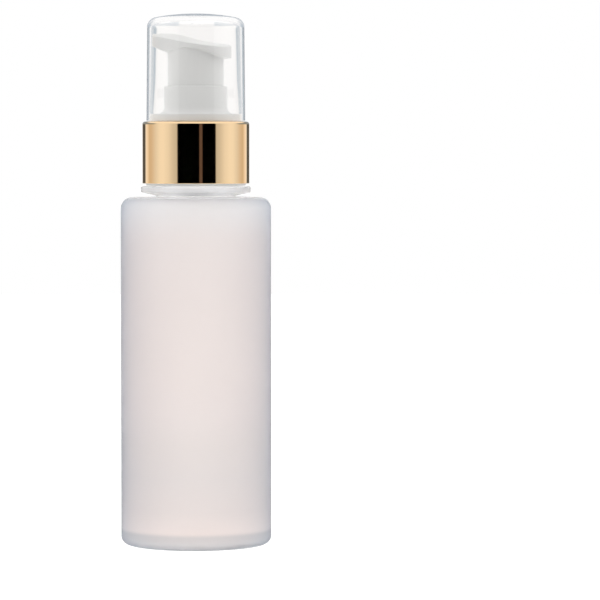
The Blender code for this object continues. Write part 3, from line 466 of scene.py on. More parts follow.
def held(outline, closed):
    """The outline with a point close to both ends of each long side, which keeps the shading flat there."""
    ahead = np.roll(outline, -1, axis=0) - outline
    size = np.linalg.norm(ahead, axis=1)
    if not closed:
        size[-1] = 0
    near = np.where(size > 4 * HOLD, HOLD / np.maximum(size, TINY), 0.0)
    place = np.stack((np.zeros(len(size)), near, 1 - near), axis=1)
    points = outline[:, None] + place[..., None] * ahead[:, None]
    keep = np.stack((np.ones(len(size), bool), near > 0, near > 0), axis=1)
    return points[keep]


def on_wall(outline, radius):
    """True for the outline's points on an upright wall of one radius."""
    return np.abs(outline[:, :1] - radius) < TOUCH


def refined(outline, step, radius, low_z, high_z):
    """The outline with extra points, step apart, on its upright sides at one radius between two heights."""
    place, height = outline.T
    here = on_wall(outline, radius)[:, 0] & (height >= low_z) & (height <= high_z)
    count = np.ceil(np.abs(np.diff(height)) / step)
    count = np.where(here[:-1] & here[1:], np.maximum(count, 1), 1)
    knots = np.concatenate(([0], np.cumsum(count)))
    index = np.arange(len(outline))
    spread = np.interp(np.arange(knots[-1] + 1), knots, index)
    return np.column_stack((np.interp(spread, index, place), np.interp(spread, index, height)))


def domed(side_radius, corner_round, rise, top_z, steps=14):
    """A shallow dome from its centre out to the end of its rounded corner.

    The dome is top - rise (radius / its own radius)^2, and the corner's arc starts at the dome's slope.
    """
    inner = side_radius - corner_round
    slope = math.atan2(2 * rise, inner)
    dome_radius = inner + corner_round * math.sin(slope)
    radius = dome_radius * np.linspace(0, 1, steps, endpoint=False)
    dome = np.column_stack((radius, top_z - rise * (radius / dome_radius) ** 2))
    angle = np.linspace(math.pi / 2 - slope, 0, steps + 1)
    middle_z = top_z - rise - corner_round * math.cos(slope)
    corner = np.column_stack((inner + corner_round * np.cos(angle), middle_z + corner_round * np.sin(angle)))
    return np.vstack((dome, corner))


def turned(outline, columns):
    """A grid of points: each outline point carried round Z, so x = r cos(a), y = r sin(a)."""
    angle = around(columns)
    radius, height = outline[:, :1], outline[:, 1:]
    height = np.broadcast_to(height, (len(outline), columns))
    return np.stack((radius * np.cos(angle), radius * np.sin(angle), height), axis=2)


def displaced(grid, radial=0.0, lift=0.0):
    """The grid moved outwards from Z by one array and up by another."""
    radius = np.maximum(np.hypot(grid[..., 0], grid[..., 1]), TINY)
    moved = grid.copy()
    moved[..., :2] *= (1 + radial / radius)[..., None]
    moved[..., 2] += lift
    return moved


def bands(columns, count, radius, width):
    """1 inside evenly spaced upright bands on a wall and 0 between them.

    A column's distance from its nearest band's middle, round the wall, is compared with half the width.
    """
    turn = np.mod(around(columns) * count / TAU + 0.5, 1.0) - 0.5
    aside = np.abs(turn) * TAU / count * radius
    return smooth((width / 2 - aside) / BAND_EASE + 0.5)


def surface(name, grid, ring=False):
    """Put a grid that is closed across its columns into a mesh object.

    With ring, the last row joins the first. Without it, the first and last rows are poles, drawn as one
    point each with triangles round it. Faces are turned outwards by the sign of the enclosed volume.
    """
    rows, columns = grid.shape[:2]
    index = np.arange(rows * columns).reshape(rows, columns)
    points = grid.reshape(-1, 3)
    if not ring:
        index = index - columns + 1
        index[0], index[-1] = 0, index[-2, -1] + 1
        points = np.vstack((grid[0].mean(axis=0), points[columns:-columns], grid[-1].mean(axis=0)))
    beside = np.roll(index, -1, axis=1)
    upper, upper_beside = (np.roll(part, -1, axis=0) for part in (index, beside))
    quads = np.stack((index, beside, upper_beside, upper), axis=2)
    if ring:
        faces = quads.reshape(-1, 4).tolist()
    else:
        faces = quads[1:-2].reshape(-1, 4).tolist()
        faces += quads[0][:, [0, 2, 3]].tolist()
        faces += quads[-2][:, [0, 1, 2]].tolist()
    mesh = bpy.data.meshes.new(name)
    mesh.from_pydata(points.tolist(), [], faces)
    corners = points[quads[: rows if ring else rows - 1].reshape(-1, 4)]
    spans = np.cross(corners[:, 1] - corners[:, 0], corners[:, 2] - corners[:, 0])
    spans += np.cross(corners[:, 2] - corners[:, 0], corners[:, 3] - corners[:, 0])
    if (spans * corners.mean(axis=1)).sum() < 0:
        mesh.flip_normals()
    return shown(name, mesh)


def shaded(mesh):
    """Shade a mesh smooth but for its sharp edges."""
    mesh.shade_smooth()
    mesh.set_sharp_from_angle(angle=SHARP_ANGLE)


def shown(name, mesh):
    """Put a shaded mesh in the scene as an object at the origin."""
    shaded(mesh)
    piece = bpy.data.objects.new(name, mesh)
    bpy.context.scene.collection.objects.link(piece)
    return piece


def turned_ring(name, corners, columns, steps=6):
    """A closed section of (radius, height, fillet) corners carried round Z."""
    return surface(name, turned(filleted(corners, closed=True, steps=steps), columns), ring=True)


def swept(name, path, radius, sides):
    """A closed round tube along a path.

    Each ring is path + radius (cos(a) across + sin(a) upwards), where both directions lie square to the
    path's own.
    """
    ahead, _ = unit(np.gradient(path, axis=0))
    across = np.cross(ahead, (0.0, 0.0, 1.0))
    if np.linalg.norm(across, axis=1).min() < TOUCH:
        across = np.cross(ahead, (0.0, 1.0, 0.0))
    across, _ = unit(across)
    upwards = np.cross(across, ahead)
    angle = around(sides)
    ring = np.cos(angle)[:, None] * across[:, None] + np.sin(angle)[:, None] * upwards[:, None]
    tube = path[:, None] + radius * ring
    ends = [np.broadcast_to(path[end], (1, sides, 3)) for end in (0, -1)]
    return surface(name, np.concatenate((ends[0], tube, ends[1])))


def join_or_cut(piece, other, operation):
    """Join a piece with another, or cut it with the other, and drop the other."""
    modifier = piece.modifiers.new("Shape", "BOOLEAN")
    modifier.operation, modifier.object, modifier.solver = operation, other, "EXACT"
    graph = bpy.context.evaluated_depsgraph_get()
    mesh = bpy.data.meshes.new_from_object(piece.evaluated_get(graph))
    piece.modifiers.clear()
    old, piece.data = piece.data, mesh
    bpy.data.meshes.remove(old)
    bpy.data.objects.remove(other, do_unlink=True)
    mesh.name = piece.name
    shaded(mesh)


def fitted(piece, node, material):
    """Give a piece its material, and let it stand for its node on that node's body."""
    piece.data.materials.clear()
    piece.data.materials.append(material)
    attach(piece, frame["nodes"][node]["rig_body"])
    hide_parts(node)
    return piece


# Bottle, closure and collar

# Slope of the support ring's underside, and how far the neck's foot stands out of the groove
GROOVE_SLOPE = 0.23
FOOT_STEP = 0.0004
FLOOR_ROUND = 0.001
NECK_ROOT_ROUND = 0.0007
# Share of the base's radius where the push-up leaves off for the moulding gate
GATE_SHARE = 0.14


def thread_height(height, angle, start_z, thread, depth):
    """How far the helical ridge stands out of its wall at a height and an angle.

    The ridge's middle climbs one pitch a turn. Its section is flat on the crest and eased down both
    flanks to the root, and it fades in and out over its first and last part of a turn.
    """
    turn = angle / TAU
    coil = np.clip(np.round((height - start_z) / thread.pitch - turn) + turn, 0, thread.turns)
    distance = np.abs(height - start_z - thread.pitch * coil)
    flank = smooth((thread.root / 2 - distance) / ((thread.root - thread.crest) / 2))
    ends = smooth(np.minimum(coil, thread.turns - coil) / thread.fade)
    return depth * flank * ends


def threaded(outline, wall, start_z, thread, depth):
    """The turned outline with a ridge on its wall of one radius; a negative depth stands inwards."""
    grid = turned(outline, LARGE_COLUMNS)
    ridge = thread_height(grid[..., 2], around(LARGE_COLUMNS), start_z, thread, depth)
    return displaced(grid, radial=ridge * on_wall(outline, wall))


def thread_start(thread):
    """Height of the lower end of the neck's ridge: the rim less the drop and all the turns."""
    return high("bottle") - thread.drop - thread.pitch * thread.turns


def push_up_curve(bottle, lift, low_share=0.0, steps=26):
    """Points from the middle of the base out to its standing ring: height (1 - share^power)."""
    share_out = np.linspace(low_share, 1, steps)
    radius = (bottle.radius - bottle.heel_round - bottle.ring_width) * share_out
    height = lift + bottle.push_up * (1 - share_out**bottle.push_up_power)
    return np.column_stack((radius, height, np.zeros(steps)))


def bottle_outline(bottle, rim_z):
    """The bottle's section from the middle of its floor to the middle of its base.

    Straight sides with filleted corners go up the inside, over the rim, down the neck and its ring,
    over the shoulder and down the side. The floor and the base between them follow the push-up's power.
    """
    inner = bottle.radius - bottle.wall
    inner_z = bottle.shoulder_z - bottle.wall
    ring_foot = bottle.support_top_z - bottle.support_edge
    groove_z = ring_foot - (bottle.support_radius - bottle.groove_radius) * GROOVE_SLOPE
    flat = bottle.radius - bottle.shoulder_round - bottle.groove_radius
    corner_z = bottle.shoulder_z - bottle.shoulder_rise * bottle.shoulder_round / flat
    edge, support = bottle.edge_round, bottle.support_radius
    floor = push_up_curve(bottle, bottle.base_wall)
    floor[-1, 2] = FLOOR_ROUND
    under = push_up_curve(bottle, 0.0, low_share=GATE_SHARE)[::-1]
    under[0, 2] = WIDE
    nub_z = bottle.push_up - bottle.gate_height
    sides = [
        (inner, bottle.base_wall, bottle.heel_round),
        (inner, inner_z, bottle.shoulder_round - bottle.wall),
        (bottle.neck_bore, inner_z, NECK_ROOT_ROUND),
        (bottle.neck_bore, rim_z, SOFT),
        (bottle.neck_radius, rim_z, edge),
        (bottle.neck_radius, bottle.support_top_z, SOFT),
        (support, bottle.support_top_z, edge),
        (support, ring_foot, edge),
        (bottle.groove_radius, groove_z, FINE),
        (bottle.groove_radius + FOOT_STEP, corner_z + bottle.shoulder_rise, SOFT),
        (bottle.radius, corner_z, bottle.shoulder_round),
        (bottle.radius, 0.0, bottle.heel_round),
    ]
    nub = [(bottle.gate_radius, bottle.push_up, FINE), (bottle.gate_radius, nub_z, CRISP), (0.0, nub_z, 0.0)]
    return filleted(np.vstack((floor, sides, under, nub)), closed=False, steps=10)


def make_bottle(sizes):
    """The bottle's outline carried round Z, with the thread's ridge added to the neck's radius."""
    bottle, thread = sizes.bottle, sizes.thread
    rim_z = high("bottle")
    outline = bottle_outline(bottle, rim_z)
    outline = refined(outline, THREAD_ROW, bottle.neck_radius, bottle.support_top_z, rim_z)
    grid = threaded(outline, bottle.neck_radius, thread_start(thread), thread, thread.depth)
    return surface("frosted_bottle", grid)


def sleeve(inner, outer, node, inner_round, outer_round):
    """Corners of a plain sleeve as tall as a node: up its bore and down its outside."""
    foot, top = low(node), high(node)
    return [
        (inner, foot, inner_round),
        (inner, top, inner_round),
        (outer, top, outer_round),
        (outer, foot, outer_round),
    ]


def make_gasket(sizes):
    """A rectangle with rounded corners carried round Z."""
    corners = sleeve(sizes.closure.gasket_bore, reach("neck_gasket"), "neck_gasket", SOFT, SOFT)
    return turned_ring("foam_gasket", corners, MIDDLE_COLUMNS)


def make_closure(sizes):
    """A cap's section with a hole in its deck, carried round Z, less the thread's ridge on its bore."""
    closure, thread = sizes.closure, sizes.thread
    foot, top, outer = low("screw_closure"), high("screw_closure"), reach("screw_closure")
    deck, lip_top = top - closure.deck, foot + closure.lip_height
    corners = [
        (closure.bore, foot, FINE),
        (closure.bore, deck, WIDE),
        (closure.hole, deck, KEEN),
        (closure.hole, top, KEEN),
        (outer, top, closure.collar_round),
        (outer, lip_top, HAIR),
        (closure.lip_radius, lip_top, HAIR),
        (closure.lip_radius, foot, CRISP),
    ]
    outline = refined(filleted(corners, closed=True), THREAD_ROW, closure.bore, foot, deck)
    start_z = thread_start(thread) - thread.closure_drop
    grid = threaded(outline, closure.bore, start_z, thread, -thread.closure_depth)
    return surface("white_closure", grid, ring=True)


def make_collar(sizes):
    """A thin shell's section, rounded over at the top to its hole, carried round Z."""
    closure = sizes.closure
    foot, top, outer = low("collar_shell"), high("collar_shell"), reach("collar_shell")
    wall = closure.collar_wall
    corners = [
        (outer - wall, foot, KEEN),
        (outer - wall, top - wall, closure.collar_round - wall),
        (closure.collar_hole, top - wall, KEEN),
        (closure.collar_hole, top, KEEN),
        (outer, top, closure.collar_round),
        (outer, foot, CRISP),
    ]
    return turned_ring("gold_collar", corners, LARGE_COLUMNS, steps=12)


# Housing, ball and dip tube

VENT_SIDES = 24
BALL_ROWS = 49
BALL_GAP = 0.00005
# Distance from the resting ball up to the nibs, and the height over which a nib's ends are eased
NIB_GAP = 0.0009
NIB_EASE = 0.0001
CUP_ROUND = 0.0006
CONE_ROUND = 0.0008
TUBE_CUT_ROUND = 0.00008


def snap_corners(radius, pump):
    """Corners of the snap on a wall, from its foot up: a groove in the cup, and a bead on the tower's hub."""
    top = high("pump_housing") - pump.snap_drop
    middle, foot = top - pump.snap_height / 2, top - pump.snap_height
    return [(radius, foot, FINE), (radius + pump.snap_depth, middle, SOFT), (radius, top, FINE)]


def make_housing(sizes):
    """A stepped tube's section carried round Z, with nibs over the ball and a vent through the barrel.

    The nibs take their reach off the chamber's radius inside bands round the wall and between two heights.
    """
    pump = sizes.housing
    foot, top, flange = low("pump_housing"), high("pump_housing"), reach("pump_housing")
    floor = top - pump.cup_depth
    ledge = floor - pump.barrel
    seat_top = ledge - pump.chamber
    seat = seat_top - pump.seat
    stop = seat - pump.inlet_length
    cone_top = floor - pump.cup_floor
    barrel_foot = ledge - pump.cup_floor
    corners = [
        (pump.tail_bore, foot, KEEN),
        (pump.tail_bore, stop, KEEN),
        (pump.inlet, stop, KEEN),
        (pump.inlet, seat, FINE),
        (pump.chamber_bore, seat_top, SOFT),
        (pump.chamber_bore, ledge, KEEN),
        (pump.barrel_bore, ledge, CRISP),
        (pump.barrel_bore, floor, FINE),
        (pump.cup_bore, floor, SOFT),
        *snap_corners(pump.cup_bore, pump),
        (pump.cup_bore, top, FINE),
        (flange, top, FINE),
        (flange, top - pump.flange, FINE),
        (pump.cup_radius, top - pump.flange, FINE),
        (pump.cup_radius, cone_top, CUP_ROUND),
        (pump.barrel_radius, cone_top - pump.cone, CONE_ROUND),
        (pump.barrel_radius, barrel_foot, SOFT),
        (pump.chamber_radius, barrel_foot - pump.barrel_radius + pump.chamber_radius, SOFT),
        (pump.chamber_radius, seat, FINE),
        (pump.tail_radius, stop, FINE),
        (pump.tail_radius, foot, FINE),
    ]
    outline = refined(filleted(corners, closed=True), THREAD_ROW, pump.chamber_bore, seat_top, ledge)
    grid = turned(outline, MIDDLE_COLUMNS)
    middle = ball_centre_z(pump) + pump.ball_radius + NIB_GAP + pump.nib_height / 2
    nibs = smooth((pump.nib_height / 2 - np.abs(grid[..., 2] - middle)) / NIB_EASE + 0.5)
    nibs = nibs * bands(MIDDLE_COLUMNS, pump.nib_count, pump.chamber_bore, pump.nib_width)
    nibs = nibs * on_wall(outline, pump.chamber_bore)
    housing = surface("pump_barrel", displaced(grid, radial=-pump.nib_reach * nibs), ring=True)
    vent_z = cone_top - pump.cone - pump.vent_drop
    line = np.array([(pump.barrel_bore - OVERRUN, 0.0, vent_z), (pump.barrel_radius + OVERRUN, 0.0, vent_z)])
    join_or_cut(housing, swept("vent", line, pump.vent, VENT_SIDES), "DIFFERENCE")
    return housing


def ball_centre_z(pump):
    """Height of the ball's middle where it rests on its cone, one small gap off it.

    The cone's tip lies inlet / tan(slope) under the seat, and the middle (radius + gap) / sin(slope) over it.
    """
    seat = high("pump_housing") - pump.cup_depth - pump.barrel - pump.chamber - pump.seat
    slope = math.atan2(pump.chamber_bore - pump.inlet, pump.seat)
    return seat - pump.inlet / math.tan(slope) + (pump.ball_radius + BALL_GAP) / math.sin(slope)


def make_ball(sizes):
    """A sphere: radius r cos(a) at height r sin(a)."""
    pump = sizes.housing
    angle = np.linspace(math.pi / 2, -math.pi / 2, BALL_ROWS)
    height = ball_centre_z(pump) + pump.ball_radius * np.sin(angle)
    outline = np.column_stack((pump.ball_radius * np.cos(angle), height))
    return surface("valve_ball", turned(outline, MIDDLE_COLUMNS))


def make_dip_tube(sizes):
    """A plain tube whose foot is cut at a slant: the foot's rows rise by (radius - x) tan(cut)."""
    pump = sizes.housing
    foot, top = low("dip_tube"), high("dip_tube")
    corners = [
        (pump.tube_bore, foot, TUBE_CUT_ROUND),
        (pump.tube_bore, top, KEEN),
        (pump.tube_radius, top, KEEN),
        (pump.tube_radius, foot, TUBE_CUT_ROUND),
    ]
    outline = filleted(corners, closed=True)
    grid = turned(outline, SMALL_COLUMNS)
    slant = (pump.tube_radius - grid[..., 0]) * math.tan(pump.tube_cut)
    grid = displaced(grid, lift=slant * (outline[:, 1:] < (foot + top) / 2))
    return surface("clear_dip_tube", grid, ring=True)


# Tower, stem, rod, piston and spring

FLUTE_EASE = 0.0004
# Share of the shank's radius past which its top is fluted too
FLUTED_SHARE = 0.6
LIP_EDGE = 0.0001
LIP_ROUND = 0.00004
WIRE_SIDES = 12
WIRE_ROWS_PER_TURN = 40
# Turns over which the spring's pitch changes
PITCH_EASE = 0.3


def make_tower(sizes):
    """The tower's section carried round Z: stem guide, tower, flare, flange and hub with its snap bead."""
    tower = sizes.tower
    foot, top, flange = low("chaplet"), high("chaplet"), reach("chaplet")
    seat, floor = tower.seat_z, tower.seat_z + tower.floor
    flange_top, hub_foot = seat + tower.flange, seat - tower.hub_length
    hub_bore = tower.hub - tower.hub_wall
    corners = [
        (tower.guide, seat, SOFT),
        (tower.guide, foot, CRISP),
        (tower.guide_bore, foot, CRISP),
        (tower.guide_bore, floor, KEEN),
        (tower.bore, floor, SOFT),
        (tower.bore, top, CRISP),
        (tower.radius, top, tower.rim_round),
        (tower.radius, flange_top, tower.flare),
        (flange, flange_top, tower.flange_round),
        (flange, seat, KEEN),
        (tower.hub, seat, HAIR),
        *snap_corners(tower.hub, sizes.housing)[::-1],
        (tower.hub, hub_foot, FINE),
        (hub_bore, hub_foot, FINE),
        (hub_bore, seat, SOFT),
    ]
    return turned_ring("guide_tower", corners, LARGE_COLUMNS, steps=10)


def make_stem(sizes):
    """A plain sleeve's section carried round Z."""
    plunger = sizes.plunger
    corners = sleeve(plunger.stem_bore, plunger.stem_radius, "stem", FINE, SOFT)
    return turned_ring("stem_tube", corners, SMALL_COLUMNS)


def make_rod(sizes):
    """The rod's outline carried round Z, with flutes: the shank's radius falls in bands round the axis."""
    plunger = sizes.plunger
    foot, top = low("piston_rod"), high("piston_rod")
    disc = foot + plunger.pilot
    disc_top = disc + plunger.disc
    corners = [
        (0.0, top, 0.0),
        (plunger.shank, top, SOFT),
        (plunger.shank, disc_top, KEEN),
        (plunger.disc_radius, disc_top, CRISP),
        (plunger.disc_radius, disc, CRISP),
        (plunger.pilot_radius, disc, KEEN),
        (plunger.pilot_radius, foot, FULL),
        (0.0, foot, 0.0),
    ]
    outline = refined(filleted(corners, closed=False), FLUTE_ROW, plunger.shank, disc_top, top)
    grid = turned(outline, MIDDLE_COLUMNS)
    flutes = bands(MIDDLE_COLUMNS, plunger.flute_count, plunger.shank, plunger.flute_width)
    flutes = flutes * smooth((grid[..., 2] - disc_top - plunger.flute_start) / FLUTE_EASE)
    radius, height = outline[:, :1], outline[:, 1:]
    fluted = (radius > FLUTED_SHARE * plunger.shank) & (radius < plunger.shank + TOUCH) & (height > disc_top)
    return surface("fluted_rod", displaced(grid, radial=-plunger.flute_depth * flutes * fluted))


def make_piston(sizes):
    """A waisted ring's section carried round Z, with a thin lip at each end flared out to the barrel."""
    plunger = sizes.plunger
    foot, top, outer = low("piston"), high("piston"), reach("piston")
    hub, waist, hollow, lip = plunger.piston_hub, plunger.piston_waist, plunger.piston_hollow, plunger.lip
    corners = [
        (plunger.piston_bore, foot, CRISP),
        (plunger.piston_bore, top, CRISP),
        (hub, top, KEEN),
        (hub, top - hollow, KEEN),
        (waist, top - hollow, KEEN),
        (outer - LIP_EDGE, top, LIP_ROUND),
        (outer, top, LIP_ROUND),
        (outer, top - lip / 2, SOFT),
        (waist, top - 2 * lip, FULL),
        (waist, foot + 2 * lip, FULL),
        (outer, foot + lip / 2, SOFT),
        (outer, foot, LIP_ROUND),
        (outer - LIP_EDGE, foot, LIP_ROUND),
        (waist, foot + hollow, KEEN),
        (hub, foot + hollow, KEEN),
        (hub, foot, KEEN),
    ]
    return turned_ring("lip_piston", corners, MIDDLE_COLUMNS)


def make_spring(sizes):
    """A round wire along a helix.

    Its height is the sum of its pitch, which is eased from the close end turns to the open ones and
    back, scaled to the spring's length.
    """
    plunger = sizes.plunger
    wire, end_turns = plunger.wire, plunger.end_turns
    foot, top = low("return_spring") + wire, high("return_spring") - wire
    turns = plunger.active_turns + 2 * end_turns
    end_rise = end_turns * plunger.end_pitch * 2 * wire
    place = np.linspace(0, turns, round(turns * WIRE_ROWS_PER_TURN) + 1)
    blend = smooth((place - end_turns) / PITCH_EASE + 0.5)
    blend = blend * smooth((turns - end_turns - place) / PITCH_EASE + 0.5)
    open_pitch = (top - foot - 2 * end_rise) / plunger.active_turns
    pitch = end_rise / end_turns * (1 - blend) + open_pitch * blend
    climb = np.concatenate(([0], np.cumsum((pitch[1:] + pitch[:-1]) / 2 * np.diff(place))))
    height = foot + (top - foot) * climb / climb[-1]
    angle = TAU * place
    path = np.column_stack((plunger.coil_radius * np.cos(angle), plunger.coil_radius * np.sin(angle), height))
    return swept("coil_spring", path, wire, WIRE_SIDES)


# Head

# Outline from the spout's tip to the back, in metres: place, half width, ridge, edge and underside, the
# last three above the head's foot
HEAD_STATIONS = np.array(
    [
        (-0.01150, 0.00220, 0.00645, 0.00600, 0.00310),
        (-0.01066, 0.00245, 0.00650, 0.00577, 0.00272),
        (-0.00944, 0.00285, 0.00656, 0.00555, 0.00220),
        (-0.00766, 0.00370, 0.00660, 0.00520, 0.00175),
        (-0.00545, 0.00520, 0.00642, 0.00470, 0.00205),
        (-0.00306, 0.00705, 0.00595, 0.00415, 0.00265),
        (-0.00064, 0.00825, 0.00530, 0.00372, 0.00260),
        (0.00154, 0.00860, 0.00468, 0.00338, 0.00225),
        (0.00356, 0.00835, 0.00425, 0.00315, 0.00165),
        (0.00534, 0.00740, 0.00398, 0.00300, 0.00090),
        (0.00696, 0.00595, 0.00380, 0.00292, 0.00032),
        (0.00826, 0.00410, 0.00365, 0.00290, 0.00005),
        (0.00910, 0.00220, 0.00345, 0.00290, 0.00000),
        (0.00946, 0.00070, 0.00320, 0.00290, 0.00000),
    ]
)
HALF_WIDTH, RIDGE, EDGE, UNDERSIDE = 1, 2, 3, 4
HEAD_BACK = 0.0095

# Points that draw the outline before it is spaced evenly
ROUND_POINTS = 3001
TIP_POINTS = 301
EVEN_POINTS = 4096

# Columns, and rows of each stretch, of the head's grid
HEAD_COLUMNS = 288
CROWN_ROWS = 40
EDGE_ROWS = 8
SIDE_ROWS = 11
LOWER_ROWS = 5
LEDGE_ROWS = 8
FILLET_ROWS = 9
SKIRT_ROWS = 18
DUCT_SIDES = 40

# The pad's share of the half width, how softly it bends down, and where the crown's rows meet
PAD_SHARE = 0.34
PAD_BEND = 0.12
PAST_SIDE = 1.05
CROWN_MIDDLE = np.array([-0.0008, 0.0])
STEEPEST_CROWN = 1.2
# The crown's least half width, which sets in towards the back
LEAST_HALF = 0.0001
BACK_HALF = 0.0022
BACK_REACH = 0.006

# Most of the ledge under the head that a round takes, and the gusset's half angle with its ease
LOWER_SHARE = 0.4
FILLET_SHARE = 0.45
GUSSET_ANGLE = 0.52
GUSSET_EASE = 0.28

# Height of the duct's foot over the ceiling, and the riser's ends past the socket and the duct
DUCT_RISE = 0.0001
RISER_START = 0.0003
RISER_END = 0.0002


def evenly_spaced(x, y, count):
    """A closed outline's points, spaced evenly along it, and its length."""
    run = np.concatenate(([0], np.cumsum(np.hypot(*(np.diff(v, append=v[0]) for v in (x, y))))))
    even = np.arange(count) / count * run[-1]
    x, y = (np.interp(even, run, np.append(v, v[0])) for v in (x, y))
    return x, y, run[-1]


def head_plan(head, columns):
    """The head's outline from above, evenly spaced from the back and counted anticlockwise.

    A smooth curve runs from the spout's tip round the back to the tip, which is flat. A weighted mean
    along the closed outline, with a bell curve's weights, rounds the tip's corners.
    """
    x, half = HEAD_STATIONS[::-1, 0], HEAD_STATIONS[::-1, HALF_WIDTH]
    knots_x = np.concatenate((x[::-1], [HEAD_BACK], x))
    knots_y = np.concatenate((-half[::-1], [0.0], half))
    knots = np.concatenate(([0], np.cumsum(np.hypot(np.diff(knots_x), np.diff(knots_y)))))
    place = np.linspace(0, knots[-1], ROUND_POINTS)
    tip_y = np.linspace(half[-1], -half[-1], TIP_POINTS)[1:-1]
    plan_x = np.concatenate((eased(place, knots, knots_x), np.full(len(tip_y), x[-1])))
    plan_y = np.concatenate((eased(place, knots, knots_y), tip_y))
    plan_x, plan_y, around_it = evenly_spaced(plan_x, plan_y, EVEN_POINTS)
    waves = np.fft.fftfreq(EVEN_POINTS, around_it / EVEN_POINTS)
    soften = np.exp(-2 * (math.pi * waves * head.corner_round) ** 2)
    plan_x, plan_y = (np.fft.ifft(np.fft.fft(v) * soften).real for v in (plan_x, plan_y))
    first = np.argmax(plan_x)
    plan_x, plan_y, _ = evenly_spaced(np.roll(plan_x, -first), np.roll(plan_y, -first), columns)
    return np.column_stack((plan_x, plan_y))


def station(place, column):
    """One of the head's station values at a place along the head."""
    return eased(place, HEAD_STATIONS[:, 0], HEAD_STATIONS[:, column])


def crown_z(plan, foot_z):
    """Height of the crowned top, where k runs from 0 on the ridge to 1 at the side.

    It is edge + (ridge - edge)(1 - g(k)). g stays near 0 over the pad and then rises evenly, as
    sqrt((k - pad)^2 + bend^2) + k - pad does. Over the rounded back k grows more slowly, so that the
    ridge reaches the back's edge.
    """
    x, y = plan[..., 0], plan[..., 1]
    least = BACK_HALF * smooth(x / BACK_REACH)
    half = (np.maximum(station(x, HALF_WIDTH), LEAST_HALF) ** 4 + least**4) ** 0.25
    edge = station(x, EDGE)
    k = np.stack(np.broadcast_arrays(np.minimum(np.abs(y) / half, PAST_SIDE), 0.0, 1.0)) - PAD_SHARE
    bevel, start, end = np.hypot(k, PAD_BEND) + k
    return foot_z + edge + (station(x, RIDGE) - edge) * (1 - (bevel - start) / (end - start))


def rows_of(plan, height):
    """Rows of points from arrays of plan places and heights."""
    return np.concatenate((plan, np.broadcast_to(height, plan.shape[:-1])[..., None]), axis=-1)


def head_top(head, plan, outwards):
    """Rows over the crown and its edge, and the height where the side starts.

    The crown's rows lie at shares sin(0 to 90 degrees) of the way from its middle to its rim. The edge
    is an arc from the crown's own slope down to upright.
    """
    bend = head.edge_round
    rise = crown_z(plan - bend * outwards, head.foot_z) - crown_z(plan, head.foot_z)
    slope = np.clip(np.arctan(rise / bend), 0, STEEPEST_CROWN)
    rim = plan - (bend * (1 - np.sin(slope)))[:, None] * outwards
    spread = np.sin(np.linspace(0, 1, CROWN_ROWS) * math.pi / 2)[:, None, None]
    crown = CROWN_MIDDLE + spread * (rim - CROWN_MIDDLE)
    side_z = crown_z(rim, head.foot_z) - bend * np.cos(slope)
    turn = slope + (math.pi / 2 - slope) * steps_of(EDGE_ROWS)[:, None]
    edge = plan - (bend * (1 - np.sin(turn)))[..., None] * outwards
    return [rows_of(crown, crown_z(crown, head.foot_z)), rows_of(edge, side_z + bend * np.cos(turn))], side_z


def head_side(head, plan, outwards, ledge, side_z):
    """Rows straight down the side, and round its lower edge by a quarter circle."""
    lower = np.minimum(head.lower_round, LOWER_SHARE * ledge)
    under_z = head.foot_z + station(plan[:, 0], UNDERSIDE)
    fall = (under_z + lower - side_z) * steps_of(SIDE_ROWS)[:, None]
    side = rows_of(np.broadcast_to(plan, (SIDE_ROWS, *plan.shape)), side_z + fall)
    turn = math.pi / 2 * steps_of(LOWER_ROWS)[:, None]
    lower_plan = plan - (lower * (1 - np.cos(turn)))[..., None] * outwards
    return [side, rows_of(lower_plan, under_z + lower * (1 - np.sin(turn)))]


def head_ledge(head, plan, radial, ledge, start):
    """Rows straight in under the head, and down onto the skirt by a quarter circle.

    That fillet is wider under the spout, by the angle from it, and never takes the whole ledge.
    """
    from_spout = math.pi - np.abs(np.arctan2(plan[:, 1], plan[:, 0]))
    fillet = head.fillet + head.gusset * smooth((GUSSET_ANGLE - from_spout) / GUSSET_EASE)
    fillet = np.minimum(fillet, FILLET_SHARE * ledge)
    end = radial * (head.skirt + fillet)[:, None]
    ledge_plan = start + (end - start) * steps_of(LEDGE_ROWS)[:, None, None]
    under = rows_of(ledge_plan, head.foot_z + station(ledge_plan[..., 0], UNDERSIDE))
    turn = math.pi / 2 * steps_of(FILLET_ROWS)[:, None]
    fillet_plan = radial * (head.skirt + fillet * (1 - np.sin(turn)))[..., None]
    return [under, rows_of(fillet_plan, under[-1, :, 2] - fillet * (1 - np.cos(turn)))]


def head_inside(head, radial, skirt_top):
    """Rows straight down the skirt, and a turned outline round its rim, up its bore and into the boss."""
    skirt_z = low("actuator")
    rim_z = skirt_z + SOFT
    fall = (rim_z - skirt_top) * steps_of(SKIRT_ROWS + 1)[:-1, None]
    skirt = rows_of(np.broadcast_to(radial * head.skirt, (SKIRT_ROWS, *radial.shape)), skirt_top + fall)
    ceiling = skirt_z + head.ceiling
    boss_z = skirt_z + head.boss_recess
    socket_top = ceiling - head.socket_drop
    bore = head.skirt - head.skirt_wall
    corners = [
        (head.skirt, rim_z, 0.0),
        (head.skirt, skirt_z, FINE),
        (bore, skirt_z, SOFT),
        (bore, ceiling, WIDE),
        (head.boss, ceiling, FULL),
        (head.boss, boss_z, FINE),
        (head.socket, boss_z, SOFT),
        (head.socket, socket_top, FINE),
        (0.0, socket_top, 0.0),
    ]
    inside = filleted(corners, closed=False)[1:]
    return [skirt, rows_of(inside[:, :1, None] * radial, inside[:, 1:])]


